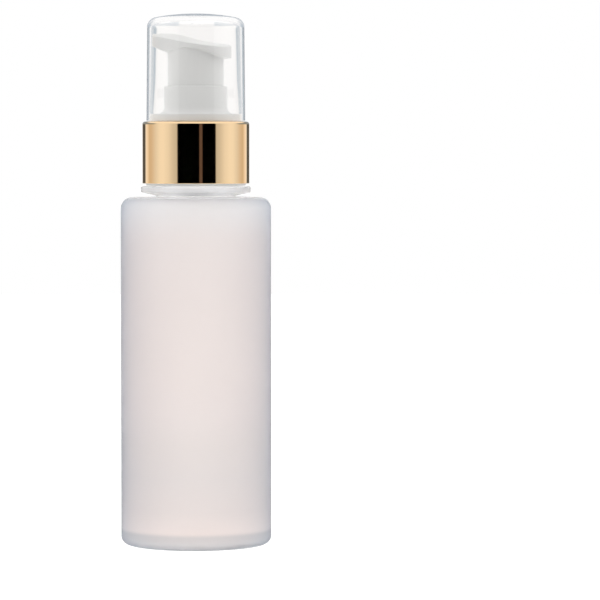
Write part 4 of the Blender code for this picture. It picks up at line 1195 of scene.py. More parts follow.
def bore_spout(actuator, head, tip_x):
    """Join a straight duct from the ceiling's middle to the skirt's wall, and bore it to the spout's mouth.

    A riser leads up from the socket into the bore.
    """
    ceiling = low("actuator") + head.ceiling
    foot = np.array([0.0, 0.0, ceiling + DUCT_RISE])
    tip = np.array([tip_x, 0.0, high("actuator") - head.bore_drop])
    along = (tip - foot) / np.linalg.norm(tip - foot)
    duct_end = foot + along * (head.skirt - head.skirt_wall / 2) / -along[0]
    socket_top = ceiling - head.socket_drop
    duct = np.array([foot, duct_end])
    bore = np.array([foot, tip + along * OVERRUN])
    riser = np.array([(0.0, 0.0, socket_top - RISER_START), (0.0, 0.0, foot[2] + RISER_END)])
    join_or_cut(actuator, swept("spout_duct", duct, head.bore + head.duct_wall, DUCT_SIDES), "UNION")
    join_or_cut(actuator, swept("spout_bore", bore, head.bore, DUCT_SIDES), "DIFFERENCE")
    join_or_cut(actuator, swept("riser", riser, head.bore, DUCT_SIDES), "DIFFERENCE")


def make_head(sizes):
    """The actuator as one closed grid, bored for its spout.

    Columns follow the head's outline from above. Rows run over the crown, down the side, in under the
    head, down the skirt, and back up inside to the boss and its socket.
    """
    head = sizes.head
    plan = head_plan(head, HEAD_COLUMNS)
    run = np.roll(plan, -1, axis=0) - np.roll(plan, 1, axis=0)
    outwards, _ = unit(np.column_stack((run[:, 1], -run[:, 0])))
    radial, radius = unit(plan)
    ledge = radius - head.skirt
    rows, side_z = head_top(head, plan, outwards)
    rows += head_side(head, plan, outwards, ledge, side_z)
    rows += head_ledge(head, plan, radial, ledge, rows[-1][-1, :, :2])
    rows += head_inside(head, radial, rows[-1][-1, :, 2])
    actuator = surface("white_actuator", np.concatenate(rows))
    bore_spout(actuator, head, plan[:, 0].min())
    return actuator


# Overcap

# Radius of the soft bends where the grip starts and where it has faded into the wall
GRIP_BEND = 0.02


def make_overcap(sizes):
    """The overcap's section carried round Z: domed top and ceiling, upright sides and a grip at the mouth."""
    cap = sizes.overcap
    foot, top, mouth = low("overcap"), high("overcap"), reach("overcap")
    ceiling = top - cap.top_wall
    nub_z = ceiling - cap.gate_height
    inner_mouth, grip_top = mouth - cap.wall, foot + cap.grip_height
    outside = domed(cap.top_radius, cap.top_round, cap.dome, top)
    inside = domed(cap.top_radius - cap.wall, cap.top_round - cap.wall, cap.ceiling_rise, ceiling)
    inside = inside[inside[:, 0] > cap.gate_radius][::-1]
    outside, inside = (np.column_stack((part, np.zeros(len(part)))) for part in (outside, inside))
    side = [
        (mouth, foot, cap.mouth_round),
        (cap.grip_radius, foot, cap.mouth_round),
        (cap.grip_radius, grip_top, GRIP_BEND),
        (inner_mouth, grip_top + cap.grip_fade, GRIP_BEND),
    ]
    nub = [(cap.gate_radius, ceiling, KEEN), (cap.gate_radius, nub_z, KEEN), (0.0, nub_z, 0.0)]
    outline = filleted(np.vstack((outside, side, inside, nub)), closed=False)
    return surface("clear_overcap", turned(outline, LARGE_COLUMNS))


# Nodes

WHITE = (1.0, 1.0, 1.0, 1.0)
HALF_TURN = 180.0


def add_node(tree, kind, inputs=(), **settings):
    """Add a node, set its own settings, and give each input a value or link a socket into it."""
    node = tree.nodes.new(kind)
    for name, value in settings.items():
        setattr(node, name, value)
    for name, value in dict(inputs).items():
        if isinstance(value, bpy.types.NodeSocket):
            tree.links.new(value, node.inputs[name])
        else:
            node.inputs[name].default_value = value
    return node


def calculate(tree, operation, first, second=0.0, third=0.0):
    """A Math node's result."""
    return add_node(tree, "ShaderNodeMath", {0: first, 1: second, 2: third}, operation=operation).outputs[0]


def distance_from(tree, value, middle):
    """How far a value lies from a middle one."""
    return calculate(tree, "ABSOLUTE", calculate(tree, "SUBTRACT", value, middle))


def eased_between(tree, value, first, last):
    """0 up to the first value and 1 from the last, eased between them."""
    inputs = {"Value": value, "From Min": first, "From Max": last}
    return add_node(tree, "ShaderNodeMapRange", inputs, interpolation_type="SMOOTHSTEP").outputs[0]


def blend_colours(tree, factor, first, second):
    """A Mix node that goes from one colour to another."""
    inputs = {0: factor, 6: first, 7: second}
    return add_node(tree, "ShaderNodeMix", inputs, data_type="RGBA", clamp_factor=True).outputs[2]


def multiply_colours(tree, first, second):
    """A Mix node that multiplies one colour by another."""
    inputs = {0: 1.0, 6: first, 7: second}
    return add_node(tree, "ShaderNodeMix", inputs, data_type="RGBA", blend_type="MULTIPLY").outputs[2]


def ramp_of(tree, factor, stops, whole=1.0):
    """A ColorRamp node's colour, from (place, grey or colour) stops, with each place out of a whole."""
    node = add_node(tree, "ShaderNodeValToRGB", {0: factor})
    elements = node.color_ramp.elements
    while len(elements) > 1:
        elements.remove(elements[-1])
    for index, (place, shade) in enumerate(stops):
        element = elements[0] if index == 0 else elements.new(place / whole)
        element.position = place / whole
        element.color = (shade, shade, shade, 1.0) if isinstance(shade, (int, float)) else (*shade, 1.0)
    return node.outputs[0]


def object_place(tree):
    """Object coordinates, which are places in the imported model's frame."""
    return add_node(tree, "ShaderNodeTexCoord").outputs["Object"]


def axes_of(tree, vector):
    """A vector's X, Y and Z."""
    parts = add_node(tree, "ShaderNodeSeparateXYZ", {0: vector})
    return [parts.outputs[axis] for axis in "XYZ"]


def noise(tree, vector, scale, detail, roughness):
    """A Noise node's value."""
    inputs = {"Vector": vector, "Scale": scale, "Detail": detail, "Roughness": roughness}
    return add_node(tree, "ShaderNodeTexNoise", inputs).outputs[0]


# Shared surface patterns

LEAST_ROUGHNESS = 0.005
# How much larger the drift of tone is than the grain, and its part in the roughness
DRIFT_SIZE = 30.0
DRIFT_PART = 0.6
# Share of the way round that the turned lines' noise reads
ROUND_PART = 0.02
# The groups' own numbers, which every finish sets anew
PLAIN_GREY = (0.8, 0.8, 0.8, 1.0)
GRAIN_NUMBERS = {"Tone": 0.03, "Grain Scale": 4000.0, "Roughness": 0.35, "Roughness Spread": 0.06}
LINE_NUMBERS = {"Line Scale": 9000.0, "Tone": 0.04, "Roughness": 0.08, "Roughness Spread": 0.03}


def pattern_group(name, numbers, draw):
    """A shader node group that varies a colour and a roughness and puts out a height, made on first use.

    draw gives the tone, the roughness's part and the height from the group's inputs. The colour is
    Colour (1 + tone Tone), and the roughness is Roughness + part Roughness Spread.
    """
    if name in bpy.data.node_groups:
        return bpy.data.node_groups[name]
    group = bpy.data.node_groups.new(name, "ShaderNodeTree")
    for title, default in {"Colour": PLAIN_GREY, **numbers}.items():
        kind = "Float" if title in numbers else "Color"
        socket = group.interface.new_socket(name=title, in_out="INPUT", socket_type=f"NodeSocket{kind}")
        socket.default_value = default
    for title, kind in (("Colour", "Color"), ("Roughness", "Float"), ("Height", "Float")):
        group.interface.new_socket(name=title, in_out="OUTPUT", socket_type=f"NodeSocket{kind}")
    given = group.nodes.new("NodeGroupInput").outputs
    result = group.nodes.new("NodeGroupOutput").inputs
    tone, part, height = draw(group, given)
    shade = calculate(group, "MULTIPLY_ADD", tone, given["Tone"], 1.0)
    tinted = add_node(group, "ShaderNodeVectorMath", {0: given["Colour"], "Scale": shade}, operation="SCALE")
    rough = calculate(group, "MULTIPLY_ADD", part, given["Roughness Spread"], given["Roughness"])
    group.links.new(tinted.outputs[0], result["Colour"])
    group.links.new(calculate(group, "MAXIMUM", rough, LEAST_ROUGHNESS), result["Roughness"])
    group.links.new(height, result["Height"])
    return group


def draw_grain(group, given):
    """Fine mould grain with a slow drift of tone.

    The grain is noise at the grain's size, for roughness and height. The drift is noise much larger,
    which takes the colour a little down and up.
    """
    place, scale = object_place(group), given["Grain Scale"]
    grain = noise(group, place, scale, detail=3.0, roughness=0.6)
    wide = calculate(group, "DIVIDE", scale, DRIFT_SIZE)
    drift = noise(group, place, wide, detail=2.0, roughness=0.5)
    drift = calculate(group, "SUBTRACT", drift, 0.5)
    part = calculate(group, "MULTIPLY_ADD", drift, DRIFT_PART, calculate(group, "SUBTRACT", grain, 0.5))
    return drift, part, grain


def draw_lines(group, given):
    """Fine lines round Z, as drawing and polishing leave them on a turned shell.

    Noise reads height plus radius at full scale, and the way round at a small share of it, so that it
    runs in rings.
    """
    x, y, z = axes_of(group, object_place(group))
    squares = [calculate(group, "MULTIPLY", value, value) for value in (x, y)]
    from_axis = calculate(group, "SQRT", calculate(group, "ADD", *squares))
    inputs = {axis: calculate(group, "MULTIPLY", value, ROUND_PART) for axis, value in (("X", x), ("Y", y))}
    inputs["Z"] = calculate(group, "ADD", z, from_axis)
    squeezed = add_node(group, "ShaderNodeCombineXYZ", inputs).outputs[0]
    lines = noise(group, squeezed, given["Line Scale"], detail=4.0, roughness=0.65)
    centred = calculate(group, "SUBTRACT", lines, 0.5)
    return centred, centred, lines


# Finishes

# After how many bends or bounces light passes a piece unbent, so that what the frost hides doesn't show
BODY_BENDS = 9.5
NECK_BENDS = 4.5
SHOWN_BENDS = 3.5
HIDDEN_BENDS = 1.5
# Heights over which the body's number goes over to the neck's, and the closure's to the tower's
NECK_Z = (0.060, 0.086)
SEAT_Z = (0.1115, 0.1122)

# Painted shade on frost seen at a slant: (Layer Weight's facing, share of the shade's colour), on the side's
# outer radii
SLANT_SHADE_STOPS = ((0.0, 0.0), (0.08, 0.10), (0.30, 0.36), (0.52, 0.63), (0.80, 1.0))
SLANT_SHADE_RADII = (0.0165, 0.0196)
# Painted shade on the frost low down, seen by the camera alone: (height in metres, colour), and the heights
# over which the frost's colour goes white towards the neck, which is painted light
LOW_SHADE_STOPS = (
    (0.0037, (0.60, 0.665, 0.71)), (0.0045, 1.0), (0.0055, 1.0), (0.0100, (0.88, 0.90, 0.91)),
    (0.0187, (0.83, 0.87, 0.89)), (0.0273, (0.87, 0.90, 0.91)), (0.0360, (0.96, 0.97, 0.98)), (0.0450, 1.0),
)
LOW_REACH = 0.1
PAINTED_LIGHT_Z = (0.080, 0.094)

# Clear wall: facing along its outline where painted shade darkens it, and its top's share of light that
# passes, by facing and height
RIM_SHADE_FACING = (0.72, 0.98)
TOP_SHARE = 0.14
TOP_FACING = (0.3, 0.6)
TOP_DROP = 0.0026
TOP_EASE = 0.0015


def finish_material(name, group, tint, values, bump, distance, **shader):
    """A material whose colour, roughness and bump come from a shared group, and the rest is plain."""
    material = bpy.data.materials.new(name)
    material.use_nodes = True
    tree = material.node_tree
    principled = tree.nodes["Principled BSDF"]
    pattern = add_node(tree, "ShaderNodeGroup", {"Colour": (*tint, 1.0), **values}, node_tree=group)
    relief = {"Strength": bump, "Distance": distance, "Height": pattern.outputs["Height"]}
    normal = add_node(tree, "ShaderNodeBump", relief).outputs[0]
    tree.links.new(pattern.outputs["Colour"], principled.inputs["Base Color"])
    tree.links.new(pattern.outputs["Roughness"], principled.inputs["Roughness"])
    tree.links.new(normal, principled.inputs["Normal"])
    for title, value in shader.items():
        principled.inputs[title.replace("_", " ")].default_value = value
    return material


def moulded(name, tint, tone, grain, roughness, spread, bump, distance, **shader):
    """A moulded finish: mould grain with a slow drift of tone."""
    group = pattern_group("moulded_surface", GRAIN_NUMBERS, draw_grain)
    values = dict(zip(GRAIN_NUMBERS, (tone, grain, roughness, spread)))
    return finish_material(name, group, tint, values, bump, distance, **shader)


def lined(name, tint, tone, lines, roughness, spread, bump, distance):
    """A metal finish: fine lines round the axis."""
    group = pattern_group("turned_lines", LINE_NUMBERS, draw_lines)
    values = dict(zip(LINE_NUMBERS, (lines, tone, roughness, spread)))
    return finish_material(name, group, tint, values, bump, distance, Metallic=1.0)


def by_height(tree, values, heights):
    """A number that goes from one value to another, eased between two heights."""
    upper = eased_between(tree, axes_of(tree, object_place(tree))[2], *heights)
    return calculate(tree, "MULTIPLY_ADD", upper, values[1] - values[0], values[0])


def facing_of(tree):
    """Layer Weight's facing: 0 where a surface is seen square on, and 1 along its outline."""
    return add_node(tree, "ShaderNodeLayerWeight", {"Blend": 0.5}).outputs["Facing"]


def let_through(material, bends, scattered=False, clearer=None):
    """Let light pass a piece unbent once it has bent or bounced more than a number of times.

    With scattered, light that a matt surface sent out passes too. The camera's own light passes by the
    share in clearer.
    """
    tree = material.node_tree
    light = add_node(tree, "ShaderNodeLightPath")
    passing = calculate(tree, "GREATER_THAN", light.outputs["Ray Depth"], bends)
    if scattered:
        passing = calculate(tree, "MAXIMUM", light.outputs["Is Diffuse Ray"], passing)
    if clearer is not None:
        clearer = calculate(tree, "MULTIPLY", clearer, light.outputs["Is Camera Ray"])
        passing = calculate(tree, "MAXIMUM", passing, clearer)
    wall = tree.nodes["Principled BSDF"].outputs[0]
    nothing = add_node(tree, "ShaderNodeBsdfTransparent").outputs[0]
    whole = add_node(tree, "ShaderNodeMixShader", {0: passing, 1: wall, 2: nothing})
    tree.links.new(whole.outputs[0], tree.nodes["Material Output"].inputs[0])


def grey_to_edges(material, edge_shade_colour):
    """Paint shade on a frosted wall where the camera sees it at a slant and low down, and paint light towards
    the neck.
    """
    tree = material.node_tree
    principled = tree.nodes["Principled BSDF"]
    pattern = principled.inputs["Base Color"].links[0].from_socket
    seen_first = add_node(tree, "ShaderNodeLightPath").outputs["Is Camera Ray"]
    place = object_place(tree)
    flat = add_node(tree, "ShaderNodeVectorMath", {0: place, 1: (1.0, 1.0, 0.0)}, operation="MULTIPLY")
    from_axis = add_node(tree, "ShaderNodeVectorMath", {0: flat.outputs[0]}, operation="LENGTH")
    outer = eased_between(tree, from_axis.outputs["Value"], *SLANT_SHADE_RADII)
    on_side = calculate(tree, "MULTIPLY", outer, seen_first)
    slant = calculate(tree, "MULTIPLY", facing_of(tree), on_side)
    # Painted shade: the camera sees the frost greyer at a slant on the body's sides
    tint = blend_colours(tree, ramp_of(tree, slant, SLANT_SHADE_STOPS), WHITE, (*edge_shade_colour, 1.0))
    height = axes_of(tree, place)[2]
    # Painted light: the frost's colour goes white towards the neck
    pattern = blend_colours(tree, eased_between(tree, height, *PAINTED_LIGHT_Z), pattern, WHITE)
    # Painted shade low down, with a lighter band just above the base, seen by the camera alone
    painted_low_shade = ramp_of(tree, calculate(tree, "DIVIDE", height, LOW_REACH), LOW_SHADE_STOPS, LOW_REACH)
    painted_low_shade = blend_colours(tree, seen_first, WHITE, painted_low_shade)
    pattern = multiply_colours(tree, multiply_colours(tree, pattern, tint), painted_low_shade)
    tree.links.new(pattern, principled.inputs["Base Color"])


def shade_rim(material, edge_shade_colour):
    """Paint shade on a clear wall along its outline, where the camera sees it."""
    tree = material.node_tree
    principled = tree.nodes["Principled BSDF"]
    pattern = principled.inputs["Base Color"].links[0].from_socket
    seen_first = add_node(tree, "ShaderNodeLightPath").outputs["Is Camera Ray"]
    depth = calculate(tree, "MULTIPLY", eased_between(tree, facing_of(tree), *RIM_SHADE_FACING), seen_first)
    # Painted shade: the camera sees the clear wall darker along its outline
    tint = blend_colours(tree, depth, pattern, (*edge_shade_colour, 1.0))
    tree.links.new(tint, principled.inputs["Base Color"])


def frosted_wall(looks):
    """Frosted plastic: a rough wall that bends light, with painted shade at a slant and at its base and
    painted light towards the neck.
    """
    wall = moulded(
        "frosted_wall", looks.frost, tone=0.02, grain=5000.0, roughness=looks.frost_roughness, spread=0.06,
        bump=0.25, distance=0.00004, Transmission_Weight=1.0, IOR=1.45,
    )
    grey_to_edges(wall, looks.frost_edge)
    let_through(wall, by_height(wall.node_tree, (BODY_BENDS, NECK_BENDS), NECK_Z), scattered=True)
    return wall


def white_moulding(looks):
    """White plastic with a soft sheen."""
    white = moulded(
        "white_moulding", looks.white, tone=0.03, grain=4500.0, roughness=looks.white_roughness, spread=0.08,
        bump=0.12, distance=0.00003, IOR=1.49,
    )
    let_through(white, by_height(white.node_tree, (HIDDEN_BENDS, SHOWN_BENDS), SEAT_Z))
    return white


def natural_moulding(looks):
    """Natural plastic: milky and nearly clear."""
    natural = moulded(
        "natural_moulding", looks.natural, tone=0.05, grain=3500.0, roughness=0.3, spread=0.1,
        bump=0.12, distance=0.00003, IOR=1.5, Transmission_Weight=0.9,
    )
    let_through(natural, HIDDEN_BENDS, scattered=True)
    return natural


def gold_shell(looks):
    """Polished gold with faint turned lines."""
    gold = lined(
        "gold_shell", looks.gold, tone=0.03, lines=7000.0, roughness=looks.gold_roughness, spread=0.03,
        bump=0.05, distance=0.00001,
    )
    let_through(gold, SHOWN_BENDS)
    return gold


def drawn_steel(looks):
    """Drawn steel wire and the polished ball."""
    steel = lined(
        "drawn_steel", looks.steel, tone=0.1, lines=9000.0, roughness=0.22, spread=0.12,
        bump=0.15, distance=0.00001,
    )
    let_through(steel, HIDDEN_BENDS)
    return steel


def soft_foam(looks):
    """Matt foam with an open grain."""
    foam = moulded(
        "soft_foam", looks.foam, tone=0.1, grain=2500.0, roughness=0.85, spread=0.1,
        bump=0.9, distance=0.00008,
    )
    let_through(foam, HIDDEN_BENDS)
    return foam


def clear_moulding(looks):
    """Clear plastic with painted shade along its outline. Its top turns clearer where it is seen at a slant.
    """
    clear = moulded(
        "clear_moulding", looks.clear, tone=0.0, grain=900.0, roughness=0.012, spread=0.012,
        bump=0.04, distance=0.00002, Transmission_Weight=1.0, IOR=looks.clear_index, Specular_IOR_Level=0.3,
    )
    shade_rim(clear, looks.clear_edge)
    tree = clear.node_tree
    top_z = high("overcap") - TOP_DROP
    clearer = by_height(tree, (0.0, TOP_SHARE), (top_z, top_z + TOP_EASE))
    clearer = calculate(tree, "MULTIPLY", clearer, eased_between(tree, facing_of(tree), *TOP_FACING))
    let_through(clear, SHOWN_BENDS, scattered=True, clearer=clearer)
    return clear


def finish_of(maker, looks):
    """The finish that a maker gives, under the maker's own name, made on first use."""
    return bpy.data.materials.get(maker.__name__) or maker(looks)


# Studio

# What stands round the object: (degrees away from the camera's side, brightness or colour)
PANEL_STOPS = (
    (41.2, 0.0), (42.4, 0.62), (53, 0.73), (63, 0.90), (76, 1.0), (86, 0.98), (97, 0.84),
    (111, (0.74, 0.65, 0.56)), (120, (0.70, 0.60, 0.48)), (129, (0.97, 0.88, 0.80)), (138, 1.0),
    (142.5, 0.10), (165, 0.10), (168, 1.0), (180, 1.0),
)
FLAG_STOPS = (
    (0, 1.0), (143, 1.0), (150, (0.52, 0.59, 0.66)), (170, (0.35, 0.44, 0.52)), (171, 1.0), (180, 1.0)
)
# Painted shade of the floor as metal mirrors it: (degrees away from the camera's side, brightness)
FLOOR_SHADE_STOPS = (
    (0, 0.28), (36, 0.32), (64.8, 0.80), (93.6, 0.92), (129.6, 0.66), (151.2, 0.50), (180, 0.72)
)
FRONT_DEGREES = 46
SIDE_DEGREES = 68
SWEEP_DEGREES = (100, 150)

# Degrees up or down over which the room and the panels go over to the ceiling, and the sweep to white
CEILING_RISE = (20.0, 30.0)
SWEEP_RISE = (40.0, 75.0)
PANEL_CEILING = (1.06, 1.06, 1.06, 1.0)

# A narrow slit in the dark card: its middle and half width in degrees, and its colour
SLIT_MIDDLE = 12.4
SLIT_HALF = 3.25
SLIT_COLOUR = (0.13, 0.09, 0.08, 1.0)
# The panels' grey upper part far back: degrees away and degrees up over which it sets in
BANNER_DEGREES = (95, 110)
BANNER_RISE = (2.4, 3.6)
BANNER_COLOUR = (0.30, 0.35, 0.41, 1.0)
# The low flags beside the sweep: where their middle stands, and how far from it they fade out
FLAG_MIDDLE = 1.2
FLAG_RISE = 2.0
FLAG_FADE = (12.0, 20.0)

# The floor's own share of what is seen of it, and the glow that whitens it
FLOOR_SHARE = 0.5
FLOOR_GLOW = 0.62
FLOOR_GRAIN = 40.0
FLOOR_ROUGHNESS = 0.7
FLOOR_SPREAD = 0.1
FLOOR_RINGS = 5


def degrees_of(tree, angle):
    """An angle in degrees from one in radians."""
    return calculate(tree, "MULTIPLY", angle, HALF_TURN / math.pi)


def degrees_away(tree, x, y):
    """Degrees round from the camera's side, -Y, towards +X: the arctangent of x / -y."""
    return degrees_of(tree, calculate(tree, "ARCTAN2", x, calculate(tree, "MULTIPLY", y, -1.0)))


def directions(tree, turn):
    """Where a ray of the world points, in degrees.

    away runs round from the camera's side, either is how far it lies from the turned studio's front
    as a share of half a turn, rise is up or down, and steep is rise without its sign.
    """
    x, y, z = axes_of(tree, add_node(tree, "ShaderNodeTexCoord").outputs["Generated"])
    away = degrees_away(tree, x, y)
    either = calculate(tree, "DIVIDE", distance_from(tree, away, turn), HALF_TURN)
    rise = degrees_of(tree, calculate(tree, "ARCSINE", z))
    return SimpleNamespace(away=away, either=either, rise=rise, steep=calculate(tree, "ABSOLUTE", rise))


def room_light(tree, studio, way):
    """The light on matt surfaces: dim in front, lit at the sides, with an even ceiling and floor."""
    stops = ((FRONT_DEGREES, studio.front), (SIDE_DEGREES, studio.sides), (HALF_TURN, studio.sides))
    room = ramp_of(tree, way.either, stops, HALF_TURN)
    ceiling = (studio.overhead, studio.overhead, studio.overhead, 1.0)
    return blend_colours(tree, eased_between(tree, way.steep, *CEILING_RISE), room, ceiling)


def mirrored_panels(tree, way):
    """What metal mirrors: a dark card with a slit, lit panels, and a grey part above them far back."""
    panels = ramp_of(tree, way.either, PANEL_STOPS, HALF_TURN)
    slit = calculate(tree, "LESS_THAN", distance_from(tree, way.away, SLIT_MIDDLE), SLIT_HALF)
    panels = blend_colours(tree, slit, panels, SLIT_COLOUR)
    far_back = eased_between(tree, way.either, *(degrees / HALF_TURN for degrees in BANNER_DEGREES))
    above = eased_between(tree, way.rise, *BANNER_RISE)
    panels = blend_colours(tree, calculate(tree, "MULTIPLY", far_back, above), panels, BANNER_COLOUR)
    return blend_colours(tree, eased_between(tree, way.steep, *CEILING_RISE), panels, PANEL_CEILING)


def white_sweep(tree, studio, way):
    """What shows through clear and frosted plastic: a white sweep, grey at its sides, with two low flags."""
    first, last = SWEEP_DEGREES
    stops = ((0.0, studio.edges), (first, studio.edges), (last, 1.0), (HALF_TURN, 1.0))
    sweep = ramp_of(tree, way.either, stops, HALF_TURN)
    beside = calculate(tree, "DIVIDE", distance_from(tree, way.away, FLAG_MIDDLE), HALF_TURN)
    flags = ramp_of(tree, beside, FLAG_STOPS, HALF_TURN)
    off_flags = eased_between(tree, distance_from(tree, way.rise, FLAG_RISE), *FLAG_FADE)
    sweep = blend_colours(tree, off_flags, flags, sweep)
    return blend_colours(tree, eased_between(tree, way.steep, *SWEEP_RISE), sweep, WHITE)


def make_world(studio):
    """White for the camera, a sweep for clear plastic, panels for metal, and the room for all else.

    Each is a ramp over the angle away from the turned studio's front, blended to its ceiling by the rise.
    Light that a matt surface has scattered comes from the room alone.
    """
    world = bpy.data.worlds.new("soft_studio")
    bpy.context.scene.world = world
    world.cycles.sampling_method = "NONE"
    world.use_nodes = True
    tree = world.node_tree
    tree.nodes.clear()
    way = directions(tree, studio.turn)
    light = add_node(tree, "ShaderNodeLightPath").outputs
    direct = calculate(tree, "LESS_THAN", light["Diffuse Depth"], 0.5)
    mirrored = calculate(tree, "MULTIPLY", light["Is Glossy Ray"], direct)
    through = calculate(tree, "GREATER_THAN", light["Transmission Depth"], 0.5)
    through = calculate(tree, "MULTIPLY", through, direct)
    seen = blend_colours(tree, mirrored, room_light(tree, studio, way), mirrored_panels(tree, way))
    seen = blend_colours(tree, through, seen, white_sweep(tree, studio, way))
    seen = blend_colours(tree, light["Is Camera Ray"], seen, WHITE)
    background = add_node(tree, "ShaderNodeBackground", {"Color": seen, "Strength": 1.0})
    output = add_node(tree, "ShaderNodeOutputWorld")
    tree.links.new(background.outputs[0], output.inputs[0])


def floor_material(studio):
    """Pale floor that can't be seen from below.

    The camera, and anything clear, sees half the floor's own light plus a glow that whitens it, so that
    the object's shadow stays. Metal sees both darker, by the ramp over the angle from the camera's side.
    """
    material = bpy.data.materials.new("pale_floor")
    material.use_nodes = True
    tree = material.node_tree
    tree.nodes.clear()
    grain = noise(tree, object_place(tree), FLOOR_GRAIN, detail=2.0, roughness=0.5)
    rough = calculate(tree, "MULTIPLY_ADD", grain, FLOOR_SPREAD, FLOOR_ROUGHNESS)
    inputs = {"Base Color": (*studio.floor_colour, 1.0), "Roughness": rough, "Specular IOR Level": 0.0}
    plain = add_node(tree, "ShaderNodeBsdfPrincipled", inputs)
    light = add_node(tree, "ShaderNodeLightPath").outputs
    direct = calculate(tree, "LESS_THAN", light["Diffuse Depth"], 0.5)
    either = calculate(tree, "MAXIMUM", light["Is Transmission Ray"], light["Is Glossy Ray"])
    seen = calculate(tree, "MAXIMUM", light["Is Camera Ray"], calculate(tree, "MULTIPLY", either, direct))
    x, y, _ = axes_of(tree, object_place(tree))
    away = calculate(tree, "DIVIDE", calculate(tree, "ABSOLUTE", degrees_away(tree, x, y)), HALF_TURN)
    mirrored = calculate(tree, "LESS_THAN", light["Transmission Depth"], 0.5)
    mirrored = calculate(tree, "MULTIPLY", light["Is Glossy Ray"], mirrored)
    # Painted shade: metal sees the floor darker by the angle from the camera's side
    shade = blend_colours(tree, mirrored, WHITE, ramp_of(tree, away, FLOOR_SHADE_STOPS, HALF_TURN))
    own = multiply_colours(tree, (FLOOR_SHARE, FLOOR_SHARE, FLOOR_SHARE, 1.0), shade)
    dim = add_node(tree, "ShaderNodeBsdfDiffuse", {"Color": own})
    glow = add_node(tree, "ShaderNodeEmission", {"Color": shade, "Strength": FLOOR_GLOW})
    white = add_node(tree, "ShaderNodeAddShader", {0: dim.outputs[0], 1: glow.outputs[0]})
    front = add_node(tree, "ShaderNodeMixShader", {0: seen, 1: plain.outputs[0], 2: white.outputs[0]})
    behind = add_node(tree, "ShaderNodeNewGeometry").outputs["Backfacing"]
    nothing = add_node(tree, "ShaderNodeBsdfTransparent")
    whole = add_node(tree, "ShaderNodeMixShader", {0: behind, 1: front.outputs[0], 2: nothing.outputs[0]})
    output = add_node(tree, "ShaderNodeOutputMaterial")
    tree.links.new(whole.outputs[0], output.inputs[0])
    return material


def make_floor(studio):
    """A flat round sheet: rings of points r cos(a), r sin(a) at height 0, round one in the middle."""
    angle = around(MIDDLE_COLUMNS)
    rings = studio.floor_radius * steps_of(FLOOR_RINGS)[:, None]
    flat = np.zeros((FLOOR_RINGS, MIDDLE_COLUMNS))
    points = np.stack((rings * np.cos(angle), rings * np.sin(angle), flat), axis=2)
    index = 1 + np.arange(flat.size).reshape(flat.shape)
    beside = np.roll(index, -1, axis=1)
    quads = np.stack((index[:-1], index[1:], beside[1:], beside[:-1]), axis=2).reshape(-1, 4).tolist()
    middle = np.stack((np.zeros(MIDDLE_COLUMNS, int), index[0], beside[0]), axis=1).tolist()
    mesh = bpy.data.meshes.new("studio_floor")
    mesh.from_pydata([(0.0, 0.0, 0.0), *points.reshape(-1, 3).tolist()], [], middle + quads)
    floor = shown("studio_floor", mesh)
    mesh.materials.append(floor_material(studio))


def make_camera(studio):
    """A camera on the -Y side that looks along +Y, tilted down by the studio's angle."""
    data = bpy.data.cameras.new("studio_camera")
    data.lens = studio.lens
    data.sensor_width = 36.0
    data.dof.use_dof = False
    camera = bpy.data.objects.new("studio_camera", data)
    camera.location = studio.camera
    camera.rotation_euler = (math.pi / 2 - studio.tilt, 0.0, 0.0)
    bpy.context.scene.collection.objects.link(camera)
    bpy.context.scene.camera = camera


# Operators


def dress(sizes, *steps):
    """Make pieces and fit each to its node: steps are (maker, node, finish's maker)."""
    for maker, node, finish_maker in steps:
        fitted(maker(sizes), node, finish_of(finish_maker, sizes.finishes))


class MakeStage(bpy.types.Operator):
    """Set up the camera, the light and the pale floor"""

    bl_idname = "pump_bottle.stage"
    bl_label = "Stage"
    bl_options = {"REGISTER", "UNDO"}

    def execute(self, context):
        studio = context.scene.pump_bottle.studio
        context.scene.view_settings.view_transform = "Standard"
        make_camera(studio)
        make_world(studio)
        make_floor(studio)
        return {"FINISHED"}


class MakeBottle(bpy.types.Operator):
    """Make the frosted bottle with its neck thread"""

    bl_idname = "pump_bottle.bottle"
    bl_label = "Bottle"
    bl_options = {"REGISTER", "UNDO"}

    def execute(self, context):
        dress(context.scene.pump_bottle, (make_bottle, "bottle", frosted_wall))
        return {"FINISHED"}


class MakeClosure(bpy.types.Operator):
    """Make the screw closure, its gasket and the gold collar"""

    bl_idname = "pump_bottle.closure"
    bl_label = "Closure and collar"
    bl_options = {"REGISTER", "UNDO"}

    def execute(self, context):
        dress(
            context.scene.pump_bottle,
            (make_gasket, "neck_gasket", soft_foam),
            (make_closure, "screw_closure", white_moulding),
            (make_collar, "collar_shell", gold_shell),
        )
        return {"FINISHED"}


class MakeHousing(bpy.types.Operator):
    """Make the pump housing with its ball and dip tube"""

    bl_idname = "pump_bottle.housing"
    bl_label = "Pump housing"
    bl_options = {"REGISTER", "UNDO"}

    def execute(self, context):
        dress(
            context.scene.pump_bottle,
            (make_housing, "pump_housing", natural_moulding),
            (make_ball, "check_ball", drawn_steel),
            (make_dip_tube, "dip_tube", natural_moulding),
        )
        return {"FINISHED"}


class MakePlunger(bpy.types.Operator):
    """Make the stem, the piston rod and the piston"""

    bl_idname = "pump_bottle.plunger"
    bl_label = "Plunger"
    bl_options = {"REGISTER", "UNDO"}

    def execute(self, context):
        dress(
            context.scene.pump_bottle,
            (make_stem, "stem", natural_moulding),
            (make_rod, "piston_rod", natural_moulding),
            (make_piston, "piston", natural_moulding),
        )
        return {"FINISHED"}


class MakeSpring(bpy.types.Operator):
    """Make the return spring, which the pump's stroke squeezes"""

    bl_idname = "pump_bottle.spring"
    bl_label = "Return spring"
    bl_options = {"REGISTER", "UNDO"}

    def execute(self, context):
        sizes = context.scene.pump_bottle
        dress(sizes, (make_spring, "return_spring", drawn_steel))
        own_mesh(bpy.data.objects["coil_spring"])
        return {"FINISHED"}


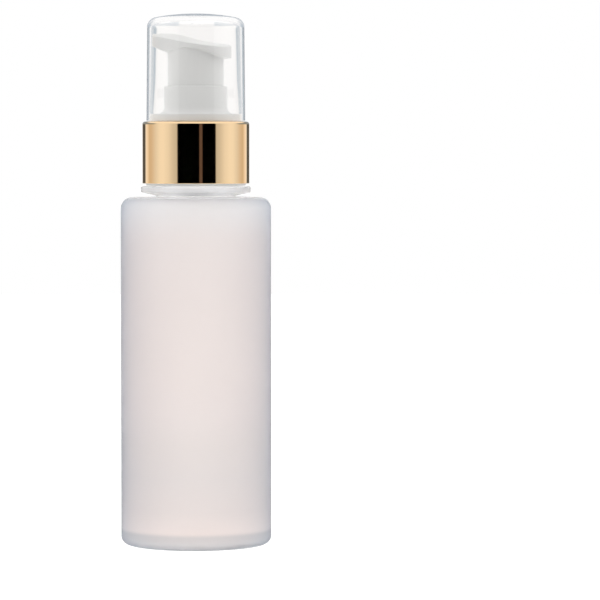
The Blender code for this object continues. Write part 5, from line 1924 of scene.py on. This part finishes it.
class MakeTower(bpy.types.Operator):
    """Make the guide tower"""

    bl_idname = "pump_bottle.tower"
    bl_label = "Guide tower"
    bl_options = {"REGISTER", "UNDO"}

    def execute(self, context):
        dress(context.scene.pump_bottle, (make_tower, "chaplet", white_moulding))
        return {"FINISHED"}


class MakeHead(bpy.types.Operator):
    """Make the actuator with its spout"""

    bl_idname = "pump_bottle.head"
    bl_label = "Head"
    bl_options = {"REGISTER", "UNDO"}

    def execute(self, context):
        dress(context.scene.pump_bottle, (make_head, "actuator", white_moulding))
        return {"FINISHED"}


class MakeOvercap(bpy.types.Operator):
    """Make the clear overcap"""

    bl_idname = "pump_bottle.overcap"
    bl_label = "Overcap"
    bl_options = {"REGISTER", "UNDO"}

    def execute(self, context):
        dress(context.scene.pump_bottle, (make_overcap, "overcap", clear_moulding))
        return {"FINISHED"}


OPERATORS = (
    MakeStage, MakeBottle, MakeClosure, MakeHousing, MakePlunger, MakeSpring, MakeTower, MakeHead,
    MakeOvercap,
)


class PumpBottlePanel(bpy.types.Panel):
    """Lists the pieces of the pump bottle and their sizes"""

    bl_idname = "VIEW3D_PT_pump_bottle"
    bl_label = "Pump bottle"
    bl_space_type = "VIEW_3D"
    bl_region_type = "UI"
    bl_category = "Pump bottle"

    def draw(self, context):
        layout = self.layout
        for operator in OPERATORS:
            layout.operator(operator.bl_idname)
        sizes = context.scene.pump_bottle
        for title in PumpBottle.__annotations__:
            box = layout.box()
            box.label(text=title.capitalize())
            for field in type(getattr(sizes, title)).__annotations__:
                box.prop(getattr(sizes, title), field)


CLASSES = (*GROUPS, PumpBottle, *OPERATORS, PumpBottlePanel)


def register():
    for each in CLASSES:
        bpy.utils.register_class(each)
    bpy.types.Scene.pump_bottle = PointerProperty(type=PumpBottle)


def unregister():
    del bpy.types.Scene.pump_bottle
    for each in reversed(CLASSES):
        bpy.utils.unregister_class(each)


def main():
    register()
    for operator in OPERATORS:
        group, name = operator.bl_idname.split(".")
        getattr(getattr(bpy.ops, group), name)()


if __name__ == "__main__":
    main()
